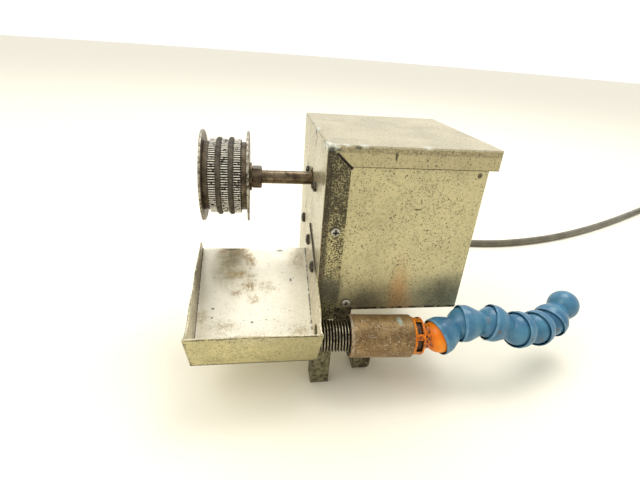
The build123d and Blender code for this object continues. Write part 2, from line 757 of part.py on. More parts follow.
# ---------------------------------------------------------------- mains cord
relief_tip = 144.0
with BuildPart() as strain_relief:
    relief_axis = Axis(at(relief_x, 0, relief_z), (0, 1, 0))
    relief_plane = Plane(origin=at(relief_x, 0, relief_z), x_dir=(0, 1, 0), z_dir=(1, 0, 0))
    turned([
        (108.0, 0), (108.0, 8.4), (111.0, 8.4), (111.0, 6.4), (house_d - sheet, 6.4),
        (house_d - sheet, 9.0), (house_d + 1.2, 9.0), (house_d + 2.2, 7.6),
        (relief_tip, cord_r + 0.9), (relief_tip, 0),
    ], axis=relief_axis, plane=relief_plane)
write(strain_relief, "strain_relief")

lying = -floor_gap + cord_r        # height of the cord's centre line where it lies
route = [
    (relief_x, relief_tip, relief_z),
    (60.0, 163.0, 14.0),
    (64.0, 183.0, 9.0),
    (75.0, 201.0, -1.0),
    (93.0, 213.0, -14.0),
    (117.0, 217.0, -28.0),
    (146.0, 214.0, -39.0),
    (180.0, 207.0, lying),
    (218.0, 199.0, lying),
    (260.0, 197.0, lying),
    (306.0, 203.0, lying),
    (358.0, 216.0, lying),
    (411.0, 235.0, lying),
    (464.0, 257.5, lying),
    (516.0, 282.0, lying),
    (565.0, 306.5, lying),
    (612.0, 330.4, lying),
]
points = [Vector(*at(*p)) for p in route]
runs = [(b - a).length for a, b in zip(points, points[1:])]
turns = [(b - a).get_angle(c - b) for a, b, c in zip(points, points[1:], points[2:])]
bends = [0.45 * min(p, q) / tan(radians(t) / 2) for p, q, t in zip(runs, runs[1:], turns)]
with BuildPart() as power_cord:
    with BuildLine() as cord_path:
        FilletPolyline(*points, radius=bends)
    with BuildSketch(Plane(origin=points[0], z_dir=points[1] - points[0])):
        Circle(cord_r)
    sweep(path=cord_path.line)
write(power_cord, "power_cord")
tube_len = cord_path.wires()[0].length
print("cord runs", [round(r, 1) for r in runs])
print("cord turns", [round(t, 1) for t in turns])
print("cord bend radii", [round(r) for r in bends])
print("cord tube", round(tube_len, 1), "volume ratio", power_cord.part.volume / (pi * cord_r**2 * tube_len))

# the coil: two turns side by side in two layers, entered along a tangent
entry_stub = 30.0
exit_stub = 30.0
entry_dir = (points[-1] - points[-2]).normalized()
entry_side = Vector(entry_dir.Y, -entry_dir.X, 0)
turn_point = points[-1] + entry_dir * entry_stub
coil_centre = turn_point + entry_side * (coil_mid_r + cord_r)
coil_floor = Plane(origin=(coil_centre.X, coil_centre.Y, 0))
# the cord leaves the top layer on the far side, back along the way that it came
plug_dir = -entry_dir
exit_height = 3 * cord_r
exit_point = coil_centre + entry_side * (coil_mid_r + cord_r)
plug_start = Vector(exit_point.X, exit_point.Y, exit_height) + plug_dir * exit_stub
with BuildPart() as cord_coil:
    with BuildSketch(coil_floor):
        Circle(coil_mid_r + 2 * cord_r + 0.4)
        Circle(coil_mid_r - 2 * cord_r, mode=Mode.SUBTRACT)
    extrude(amount=4 * cord_r)
    with BuildSketch(Plane(origin=points[-1], x_dir=entry_side, z_dir=entry_dir)):
        Rectangle(2 * cord_r, 2 * cord_r)
    extrude(amount=entry_stub)
    with BuildSketch(Plane(origin=plug_start, x_dir=entry_side, z_dir=entry_dir)):
        Rectangle(2 * cord_r, 2 * cord_r)
    extrude(amount=exit_stub)
write(cord_coil, "cord_coil")
print("coil centre", coil_centre, "entry direction", entry_dir)

# ---------------------------------------------------------------- plug
plug_plane = Plane(origin=plug_start, x_dir=(-plug_dir.Y, plug_dir.X, 0), z_dir=plug_dir)
with BuildPart() as plug:
    with BuildSketch(plug_plane):
        Circle(cord_r + 0.8)
    with BuildSketch(plug_plane.offset(14.0)):
        Circle(6.6)
    loft()
    with BuildSketch(plug_plane.offset(14.0)):
        RectangleRounded(20.0, 17.0, 6.0)
    with BuildSketch(plug_plane.offset(38.0)):
        RectangleRounded(25.0, 24.0, 8.0)
    loft()
    with BuildSketch(plug_plane.offset(38.0)):
        RectangleRounded(25.0, 24.0, 8.0)
    extrude(amount=3.0)
write(plug, "plug")

with BuildPart() as plug_blades:
    blade_plane = plug_plane.offset(41.0)
    with BuildSketch(blade_plane):
        with Locations((-6.35, -3.0), (6.35, -3.0)):
            Rectangle(1.5, 6.4)
        with Locations((0, 6.2)):
            Circle(2.4)
    extrude(amount=17.0)
write(plug_blades, "plug_blades")
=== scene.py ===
"""Looks of the drill bit sharpener: worn galvanised sheet, a browned spindle with its ribbed drum,
black pipe thread, an oxide brown coupling and a jointed blue coolant hose, on a pale floor."""

import json
import random
from math import acos, asin, copysign, cos, degrees, pi, radians, sin

import bmesh
import bpy
from mathutils import Matrix, Vector


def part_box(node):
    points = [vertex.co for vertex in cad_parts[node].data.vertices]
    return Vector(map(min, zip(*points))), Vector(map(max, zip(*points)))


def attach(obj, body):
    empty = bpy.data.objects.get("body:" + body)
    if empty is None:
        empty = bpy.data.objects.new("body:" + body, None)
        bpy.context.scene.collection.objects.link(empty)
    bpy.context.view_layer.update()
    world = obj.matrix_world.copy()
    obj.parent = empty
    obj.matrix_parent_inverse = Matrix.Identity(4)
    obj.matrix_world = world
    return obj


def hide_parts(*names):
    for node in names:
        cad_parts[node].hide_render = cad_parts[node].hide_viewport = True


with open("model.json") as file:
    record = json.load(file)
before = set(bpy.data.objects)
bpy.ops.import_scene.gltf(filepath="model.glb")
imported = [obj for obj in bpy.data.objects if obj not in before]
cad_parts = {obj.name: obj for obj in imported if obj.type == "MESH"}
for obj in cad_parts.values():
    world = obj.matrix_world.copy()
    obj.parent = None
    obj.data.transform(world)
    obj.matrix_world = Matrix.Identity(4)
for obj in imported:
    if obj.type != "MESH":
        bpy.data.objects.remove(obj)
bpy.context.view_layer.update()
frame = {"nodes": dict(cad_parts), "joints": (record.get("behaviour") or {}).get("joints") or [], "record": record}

MM = 0.001
X, Y, Z = 0, 1, 2
scene = bpy.context.scene
nodes = frame["nodes"]


# ---------------------------------------------------------------- camera, light and floor
CAMERA_AT = (-0.1046, -0.2679, 0.2167)
CAMERA_YAW, CAMERA_DOWN, CAMERA_ROLL = 9.96, 25.69, 4.43
LENS = 22.73


def make_camera():
    """A camera that looks along +Y, turned towards +X by the yaw, tilted down and rolled."""
    yaw, down, roll = radians(CAMERA_YAW), radians(CAMERA_DOWN), radians(CAMERA_ROLL)
    ahead = Vector((sin(yaw) * cos(down), cos(yaw) * cos(down), -sin(down)))
    level = Vector((cos(yaw), -sin(yaw), 0))
    above = level.cross(ahead)
    right = cos(roll) * level + sin(roll) * above
    up = -sin(roll) * level + cos(roll) * above
    data = bpy.data.cameras.new("camera")
    data.lens = LENS
    data.sensor_width = 36
    data.clip_start = 0.01
    camera = bpy.data.objects.new("camera", data)
    turn = Matrix((right, up, -ahead)).transposed().to_4x4()
    camera.matrix_world = Matrix.Translation(CAMERA_AT) @ turn
    scene.collection.objects.link(camera)
    scene.camera = camera


def soft_light(name, at, towards, size, watts, colour):
    """A square area light that faces a point."""
    data = bpy.data.lights.new(name, "AREA")
    data.size = size
    data.energy = watts
    data.color = colour
    lamp = bpy.data.objects.new(name, data)
    lamp.location = at
    lamp.rotation_euler = (Vector(towards) - Vector(at)).to_track_quat("-Z", "Y").to_euler()
    scene.collection.objects.link(lamp)


def feed(tree, socket, value):
    """Give a socket a value, or a link where the value is another socket."""
    if isinstance(value, bpy.types.NodeSocket):
        tree.links.new(value, socket)
    else:
        socket.default_value = value


def add_node(tree, kind, inputs=None, **settings):
    """Add a shader node with its settings, and feed its inputs."""
    made = tree.nodes.new("ShaderNode" + kind)
    for key, value in settings.items():
        setattr(made, key, value)
    for socket, value in (inputs or {}).items():
        feed(tree, made.inputs[socket], value)
    return made


def make_world():
    """A white tent, a little darker towards the operator's side."""
    world = bpy.data.worlds.new("tent")
    scene.world = world
    world.use_nodes = True
    tree = world.node_tree
    where = add_node(tree, "TexCoord")
    split = add_node(tree, "SeparateXYZ", {0: where.outputs["Generated"]})
    shift = add_node(tree, "MapRange", {"Value": split.outputs["Y"], "From Min": -1})
    ramp = add_node(tree, "ValToRGB", {"Fac": shift.outputs["Result"]})
    stops = ((0.0, (0.50, 0.49, 0.46, 1)), (0.62, (1.0, 0.99, 0.965, 1)))
    for stop, (position, colour) in zip(ramp.color_ramp.elements, stops):
        stop.position = position
        stop.color = colour
    back = tree.nodes["Background"]
    feed(tree, back.inputs["Color"], ramp.outputs["Color"])
    feed(tree, back.inputs["Strength"], 1.10)


def make_stage():
    """The view transform, the lights and the floor."""
    scene.view_settings.view_transform = "Standard"
    make_world()
    soft_light("key", (-1.3, -0.3, 1.5), (0, 0, 0.05), 1.2, 13, (1.0, 0.98, 0.94))
    soft_light("top", (0.4, 0.5, 1.6), (0, 0, 0.05), 0.9, 13, (1.0, 0.99, 0.97))
    bpy.ops.mesh.primitive_circle_add(vertices=96, radius=9.0, fill_type="NGON", location=(0, 0, 0))
    floor = bpy.context.object
    floor.name = "floor"
    paint = Paint("floor", roughness=0.6)
    paint.put("Base Color", (0.91, 0.87, 0.74, 1))
    floor.data.materials.append(paint.material)


# ---------------------------------------------------------------- material kit
class Paint:
    """One procedural material.  Its calls add nodes and give back their output sockets."""

    def __init__(self, name, roughness=0.5, metallic=0.0):
        self.name = name
        self.material = bpy.data.materials.new(name)
        self.material.use_nodes = True
        self.tree = self.material.node_tree
        self.shader = self.tree.nodes["Principled BSDF"]
        self.place = self.node("TexCoord").outputs["Object"]
        self.put("Roughness", roughness)
        self.put("Metallic", metallic)

    def node(self, kind, inputs=None, **settings):
        return add_node(self.tree, kind, inputs, **settings)

    def put(self, socket, value):
        """Give a shader socket a value or a link."""
        feed(self.tree, self.shader.inputs[socket], value)

    def moved(self, stretch=(1, 1, 1), seed=0.0, place=None):
        """Coordinates in millimetres, stretched, and shifted by a seed."""
        return self.node("Mapping", {
            "Vector": place or self.place, "Scale": [1000 * s for s in stretch],
            "Location": (seed, seed * 0.7, -seed * 0.4),
        }).outputs["Vector"]

    def noise(self, size, detail=3.0, rough=0.55, seed=0.0, stretch=(1, 1, 1), twist=0.0, place=None):
        """Cloudy noise with features of about size millimetres, 0 to 1."""
        return self.node("TexNoise", {
            "Vector": self.moved(stretch, seed, place), "Scale": 1 / size, "Detail": detail,
            "Roughness": rough, "Distortion": twist,
        }).outputs["Fac"]

    def dots(self, spacing, radius, share, seed):
        """Scattered dots: in each cell of the given spacing a dot of up to the given radius, or none."""
        cells = self.node("TexVoronoi", {"Vector": self.moved(seed=seed), "Scale": 1 / spacing})
        split = self.node("SeparateColor", {0: cells.outputs["Color"]})
        kept = self.calc("LESS_THAN", split.outputs[0], share)
        reach = self.times(split.outputs[1], radius / spacing)
        inside = self.calc("SUBTRACT", reach, cells.outputs["Distance"])
        return self.times(self.span(inside, 0, 0.25 * radius / spacing), kept)

    def specks(self, size, share, cluster, seed, stretch=(1, 1, 1), place=None, gather=0.30):
        """Irregular specks of about size millimetres, which gather in clusters; share is 0 to 1."""
        fine = self.noise(size, 2.5, 0.6, seed, stretch, place=place)
        groups = self.calc("SUBTRACT", self.noise(cluster, 3, 0.6, seed + 5, place=place), 0.5)
        level = self.calc("SUBTRACT", self.plus(fine, self.times(groups, gather)), 0.74 - 0.16 * share)
        return self.span(level, 0.0, 0.025)

    def calc(self, operation, a, b):
        return self.node("Math", {0: a, 1: b}, operation=operation).outputs[0]

    def chain(self, operation, values):
        """One operation over several values or masks."""
        result = values[0]
        for value in values[1:]:
            result = self.calc(operation, result, value)
        return result

    def times(self, *values):
        return self.chain("MULTIPLY", values)

    def plus(self, *values):
        return self.chain("ADD", values)

    def most(self, *masks):
        return self.chain("MAXIMUM", masks)

    def rest(self, mask):
        """1 where a mask is 0."""
        return self.calc("SUBTRACT", 1.0, mask)

    def span(self, value, low, high, start=0.0, end=1.0):
        """Map low..high to start..end with soft ends, clamped."""
        return self.node("MapRange", {
            "Value": value, "From Min": low, "From Max": high, "To Min": start, "To Max": end,
        }, interpolation_type="SMOOTHSTEP").outputs["Result"]

    def mix(self, share, a, b):
        """Colour a, turning to colour b where share is 1."""
        a, b = [c if isinstance(c, bpy.types.NodeSocket) else (*c, 1) for c in (a, b)]
        return self.node("Mix", {0: share, 6: a, 7: b}, data_type="RGBA").outputs[2]

    def coat(self, colour, *masks):
        """Lay a colour over the ones so far where all masks are 1, or everywhere where none is given."""
        self.colour = self.mix(self.times(*masks), self.colour, colour) if masks else colour
        self.put("Base Color", self.colour)

    def gloss(self, cloud, start, end):
        """Roughness between two values, following a noise."""
        self.put("Roughness", self.span(cloud, 0.3, 0.7, start, end))

    def coordinate(self, axis, place=None):
        """One coordinate in millimetres."""
        return self.times(self.node("SeparateXYZ", {0: place or self.place}).outputs[axis], 1000)

    def within(self, axis, low, high, soft=0.4, place=None):
        """1 where a coordinate lies between two values in millimetres."""
        value = self.coordinate(axis, place)
        rise = self.span(value, low - soft, low + soft)
        return self.times(rise, self.span(value, high - soft, high + soft, 1, 0))

    def turned(self, at, angles):
        """Coordinates of a frame that stands at a point in metres, turned by angles in degrees."""
        return self.node("Mapping", {
            "Vector": self.place, "Location": at, "Rotation": [radians(a) for a in angles],
        }, vector_type="TEXTURE").outputs["Vector"]

    def vector(self, operation, a, b=(0, 0, 0)):
        made = self.node("VectorMath", {0: a, 1: b}, operation=operation)
        return made.outputs["Value" if operation in ("LENGTH", "DOT_PRODUCT") else "Vector"]

    def spot(self, centre, radii, ragged, size, seed, core=0.6, place=None):
        """A stain: 1 within core times its radii in millimetres, 0 beyond them, with a ragged outline."""
        scaled = self.node("Mapping", {
            "Vector": place or self.place, "Scale": [1000 / r for r in radii],
            "Location": [-c / r for c, r in zip(centre, radii)],
        }).outputs["Vector"]
        wander = self.times(self.noise(size, 4.0, 0.65, seed, place=place), 2 * ragged)
        length = self.plus(self.vector("LENGTH", scaled), wander)
        return self.span(length, core + ragged, 1.0 + ragged, 1, 0)

    def stains(self, rows, place=None):
        """Several stains, each a row of centre, radii, raggedness, size of its outline, seed and core."""
        return self.most(*[self.spot(*row, place=place) for row in rows])

    def radius(self, origin, axis):
        """Distance in millimetres from a line."""
        away = self.vector("SUBTRACT", self.place, origin)
        return self.times(self.vector("LENGTH", self.vector("CROSS_PRODUCT", away, axis)), 1000)

    def ahead(self, origin, axis):
        """Distance in millimetres along an axis from a point."""
        away = self.vector("SUBTRACT", self.place, origin)
        return self.times(self.vector("DOT_PRODUCT", away, axis), 1000)

    def bump(self, *layers):
        """Each layer is (height, depth in millimetres)."""
        normal = None
        for height, depth in layers:
            inputs = {"Distance": depth * MM, "Height": height}
            if normal is not None:
                inputs["Normal"] = normal
            normal = self.node("Bump", inputs).outputs["Normal"]
        self.put("Normal", normal)


# ---------------------------------------------------------------- mesh kit
def new_piece(name, mesh, body, paint, replaces=(), crease=35):
    """Show a mesh as one piece of the object."""
    piece = bpy.data.objects.new(name, mesh)
    scene.collection.objects.link(piece)
    mesh.shade_smooth()
    mesh.set_sharp_from_angle(angle=radians(crease))
    mesh.materials.clear()
    mesh.materials.append(paint.material)
    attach(piece, body)
    if replaces:
        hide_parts(*replaces)
    return piece


def mesh_of(name, points, faces):
    """A mesh whose faces all look the same way, outwards on a closed shape."""
    mesh = bpy.data.meshes.new(name)
    mesh.from_pydata(points, [], faces)
    mesh.validate()
    work = bmesh.new()
    work.from_mesh(mesh)
    bmesh.ops.recalc_face_normals(work, faces=work.faces)
    work.to_mesh(mesh)
    work.free()
    return mesh


def axis_frame(origin, along):
    """A matrix whose X axis runs along a direction from an origin."""
    x = Vector(along).normalized()
    z = Vector((0, 0, 1)) if abs(x.z) < 0.9 else Vector((0, 1, 0))
    y = z.cross(x).normalized()
    return Matrix.Translation(origin) @ Matrix((x, y, x.cross(y))).transposed().to_4x4()


def arc(centre, radius, start, end, steps):
    """Points (along, out) of an arc; angles in degrees, 0 along the axis and 90 straight out."""
    turns = [radians(start + (end - start) * i / steps) for i in range(steps + 1)]
    return [(centre[0] + radius * cos(t), centre[1] + radius * sin(t)) for t in turns]


def rounded(corners, steps=4):
    """A closed outline from (along, radius, fillet) corners, each fillet drawn with a few steps."""
    outline = []
    for k, (s, r, fillet) in enumerate(corners):
        here = Vector((s, r))
        if fillet <= 0:
            outline.append((s, r))
            continue
        back = (Vector(corners[k - 1][:2]) - here).normalized()
        onward = (Vector(corners[(k + 1) % len(corners)][:2]) - here).normalized()
        start, end = here + back * fillet, here + onward * fillet
        for i in range(steps + 1):
            t = i / steps
            outline.append(tuple(start * (1 - t) ** 2 + here * 2 * t * (1 - t) + end * t ** 2))
    return outline


def ring_faces(rings, count, closed=True):
    """The quads between rings of count points each; closed joins the last ring to the first."""
    faces = []
    for i in range(rings if closed else rings - 1):
        j = (i + 1) % rings
        for k in range(count):
            m = (k + 1) % count
            faces.append((i * count + k, i * count + m, j * count + m, j * count + k))
    return faces


def lathe(name, outline, origin, along, segments=96, shape=None):
    """The solid of revolution of a closed outline of (along, radius) points in millimetres."""
    turn = axis_frame(origin, along)
    points = []
    for s, r in outline:
        for k in range(segments):
            angle = 2 * pi * k / segments
            s2, r2 = shape(s, r, angle) if shape else (s, r)
            points.append(turn @ Vector((s2 * MM, r2 * MM * cos(angle), r2 * MM * sin(angle))))
    return mesh_of(name, points, ring_faces(len(outline), segments))


def joined(name, meshes):
    """Several meshes as one."""
    work = bmesh.new()
    for mesh in meshes:
        work.from_mesh(mesh)
    result = bpy.data.meshes.new(name)
    work.to_mesh(result)
    work.free()
    return result


def settled(name, mesh, *modifiers):
    """A mesh with modifiers applied; each is (type, settings)."""
    carrier = bpy.data.objects.new(name, mesh)
    scene.collection.objects.link(carrier)
    for kind, settings in modifiers:
        modifier = carrier.modifiers.new(kind.lower(), kind)
        for key, value in settings.items():
            setattr(modifier, key, value)
    finished = carrier.evaluated_get(bpy.context.evaluated_depsgraph_get())
    result = bpy.data.meshes.new_from_object(finished)
    bpy.data.objects.remove(carrier)
    result.name = name
    return result


def carved(name, mesh, cutter):
    """A mesh with another one cut out of it."""
    tool = bpy.data.objects.new("cutter", cutter)
    scene.collection.objects.link(tool)
    cut = {"operation": "DIFFERENCE", "object": tool, "solver": "EXACT"}
    result = settled(name, mesh, ("BOOLEAN", cut))
    bpy.data.objects.remove(tool)
    return result


def block(low, high):
    """A box mesh between two corners, as a cutter."""
    xs, ys, zs = zip(low, high)
    points = [(x, y, z) for x in xs for y in ys for z in zs]
    faces = [(0, 1, 3, 2), (4, 6, 7, 5), (0, 4, 5, 1), (2, 3, 7, 6), (0, 2, 6, 4), (1, 5, 7, 3)]
    return mesh_of("block", points, faces)


def solids_of(node):
    """The boxes of the separate solids in a CAD node, as (low, high) corners, left to right."""
    work = bmesh.new()
    work.from_mesh(nodes[node].data)
    bmesh.ops.remove_doubles(work, verts=work.verts, dist=1e-6)
    left = set(work.verts)
    boxes = []
    while left:
        reach = [left.pop()]
        island = [reach[0]]
        while reach:
            for edge in reach.pop().link_edges:
                for vert in edge.verts:
                    if vert in left:
                        left.remove(vert)
                        reach.append(vert)
                        island.append(vert)
        low = Vector([min(v.co[k] for v in island) for k in range(3)])
        high = Vector([max(v.co[k] for v in island) for k in range(3)])
        boxes.append((low, high))
    work.free()
    return sorted(boxes, key=lambda b: (round(b[0].x, 4), round(b[0].y, 4), round(b[0].z, 4)))


def keep_cad(node, paint, bevel):
    """Finish a CAD node that is shown as it is, with softened edges."""
    piece = nodes[node]
    piece.data.materials.clear()
    piece.data.materials.append(paint.material)
    if bevel:
        weld = piece.modifiers.new("weld", "WELD")
        weld.merge_threshold = 1e-6
        soften = piece.modifiers.new("bevel", "BEVEL")
        soften.width = bevel * MM
        soften.segments = 2
        soften.limit_method = "ANGLE"
        soften.angle_limit = radians(40)
        soften.harden_normals = False


# ---------------------------------------------------------------- places and sizes
# positions come from the frame in metres; bare lengths are millimetres
joints = {joint["name"]: joint for joint in frame["joints"]}
SPINDLE = Vector(joints["spindle_spin"]["pos_m"])
X_AXIS = Vector((1, 0, 0))
PIPE_YAW = radians(3.0)
PIPE_DIR = Vector((cos(PIPE_YAW), -sin(PIPE_YAW), 0))
BALL_S = 84.5                      # from the tray's wall to the connector's ball
PIPE_AT = Vector(joints["hose_swing_1"]["pos_m"]) - PIPE_DIR * BALL_S * MM
PIPE_BORE = 7.9                    # radius
mounts = {mount["name"]: mount for mount in frame["record"]["mounts"]}
HOSE_AT = [Vector(joint["pos_m"]) for name, joint in joints.items() if name.startswith("hose")]
HOSE_AT.append(Vector(mounts["hose_end_ball"]["pos_m"]))
MOUTHS = [(a, (b - a).normalized()) for a, b in zip(HOSE_AT, HOSE_AT[1:])]
TRAY_CORNER = (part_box("catch_tray")[0].x, -0.0584, 0.0228)
TRAY_TILT = radians(27.1)
TRAY_WIDE, TRAY_DEEP, TRAY_TALL = 83.0, 94.0, 41.0
LEFT_BACK, RIGHT_BACK = 9.0, 34.0  # heights of the tray's side walls at its back
CREST = (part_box("ribbed_ring_1")[1].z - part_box("ribbed_ring_1")[0].z) / 2 / MM
RING_BORE = 4.9
PLUG_SIDES = 56

# the connector's collar and its pockets, along the pipe from the tray's wall, and the hose's balls
COLLAR, COLLAR_END = 63.5, 70.6
POCKET, POCKET_END, POCKET_FLOOR = COLLAR + 1.7, COLLAR + 5.6, 10.4
POCKET_TURN = -3                   # degrees from the level direction to the nearest pocket's middle
BALL_R, SOCKET_IN, BORE_R, NECK_R = 11.5, 11.56, 6.5, 8.4
LINK_PITCH, BALL_CUT = 20.9, 7.3


# ---------------------------------------------------------------- the mains cord
CORD_R = 4.1 * MM
ROUTE = [
    (-0.004, 0.1048, 0.0635), (-0.004, 0.1238, 0.0635), (0.0, 0.1438, 0.0585),
    (0.011, 0.1618, 0.0485), (0.029, 0.1738, 0.0355), (0.053, 0.1778, 0.0215),
    (0.082, 0.1748, 0.0105), (0.116, 0.1678, 0.0041), (0.154, 0.1598, 0.0041),
    (0.196, 0.1578, 0.0041), (0.242, 0.1638, 0.0041), (0.294, 0.1768, 0.0041),
    (0.347, 0.1958, 0.0041), (0.400, 0.2183, 0.0041), (0.452, 0.2428, 0.0041),
    (0.501, 0.2673, 0.0041), (0.548, 0.2912, 0.0041),
]
COIL_MIDDLE = 49.2 * MM            # mean radius of the coil's turns
COIL_STUB = 30 * MM                # straight run into the coil and out of it
COIL_STEPS = 16                    # control points in each turn
COIL_TURNS = 3.5
CROSSING = 0.2                     # share of a turn in which the cord crosses to the next one


def coil_points():
    """Turns of the coil: two side by side on the floor, then one and a half on top, and the run out."""
    last, before = Vector(ROUTE[-1]), Vector(ROUTE[-2])
    ahead = (last - before).normalized()
    inward = Vector((ahead.y, -ahead.x, 0))
    centre = last + ahead * COIL_STUB + inward * (COIL_MIDDLE + CORD_R)
    centre.z = 0
    swell = 1 / cos(pi / COIL_STEPS)           # the spline runs inside its control points
    outer, inner = (COIL_MIDDLE + CORD_R), (COIL_MIDDLE - CORD_R)
    radii = [outer, inner, inner, outer]
    heights = [CORD_R, CORD_R, 3 * CORD_R, 3 * CORD_R]
    points = []
    for step in range(int(COIL_TURNS * COIL_STEPS) + 1):
        turn = int(step / COIL_STEPS)
        share = step / COIL_STEPS - turn
        cross = max(0.0, (share - 1 + CROSSING) / CROSSING)
        cross = cross * cross * (3 - 2 * cross)
        following = min(turn + 1, len(radii) - 1)
        radius = radii[turn] + (radii[following] - radii[turn]) * cross
        height = heights[turn] + (heights[following] - heights[turn]) * cross
        angle = 2 * pi * step / COIL_STEPS
        spoke = -inward * cos(angle) + ahead * sin(angle)
        points.append(centre + spoke * radius * swell + Vector((0, 0, height)))
    end = centre + inward * outer + Vector((0, 0, 3 * CORD_R))
    points.append(end - ahead * COIL_STUB * 0.5)
    points.append(end - ahead * COIL_STUB)
    return points


def make_cord():
    """The whole cord, from the strain relief to the plug, as one open curve."""
    points = [Vector(p) for p in ROUTE] + coil_points()
    data = bpy.data.curves.new("mains_cord", "CURVE")
    data.dimensions = "3D"
    data.bevel_depth = CORD_R
    data.bevel_resolution = 8
    data.resolution_u = 8
    data.use_fill_caps = True
    spline = data.splines.new("NURBS")
    spline.points.add(len(points) - 1)
    for spot, place in zip(spline.points, points):
        spot.co = (*place, 1)
    spline.order_u = 3
    spline.use_endpoint_u = True
    cord = bpy.data.objects.new("mains_cord", data)
    scene.collection.objects.link(cord)
    data.materials.append(paints["cord_jacket"].material)
    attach(cord, "machine")
    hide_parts("power_cord", "cord_coil")
    return cord


# ---------------------------------------------------------------- materials
def cloudy(name, dark, light, size, rough=(0.4, 0.6), metallic=0.0, grain=0.04, seed=0.0, grain_size=0.5):
    """A plain worn finish: two tones in soft clouds, with a fine grain."""
    p = Paint(name, metallic=metallic)
    clouds = p.noise(size, 4, 0.6, seed)
    p.put("Base Color", p.mix(p.span(clouds, 0.35, 0.65), dark, light))
    p.gloss(clouds, rough[1], rough[0])
    p.bump((p.noise(grain_size, 3, 0.6, seed + 7), grain))
    return p


BEIGE, OLIVE, DARK_OLIVE = (0.595, 0.535, 0.308), (0.50, 0.45, 0.255), (0.125, 0.11, 0.06)
SPECK = (0.045, 0.036, 0.022)


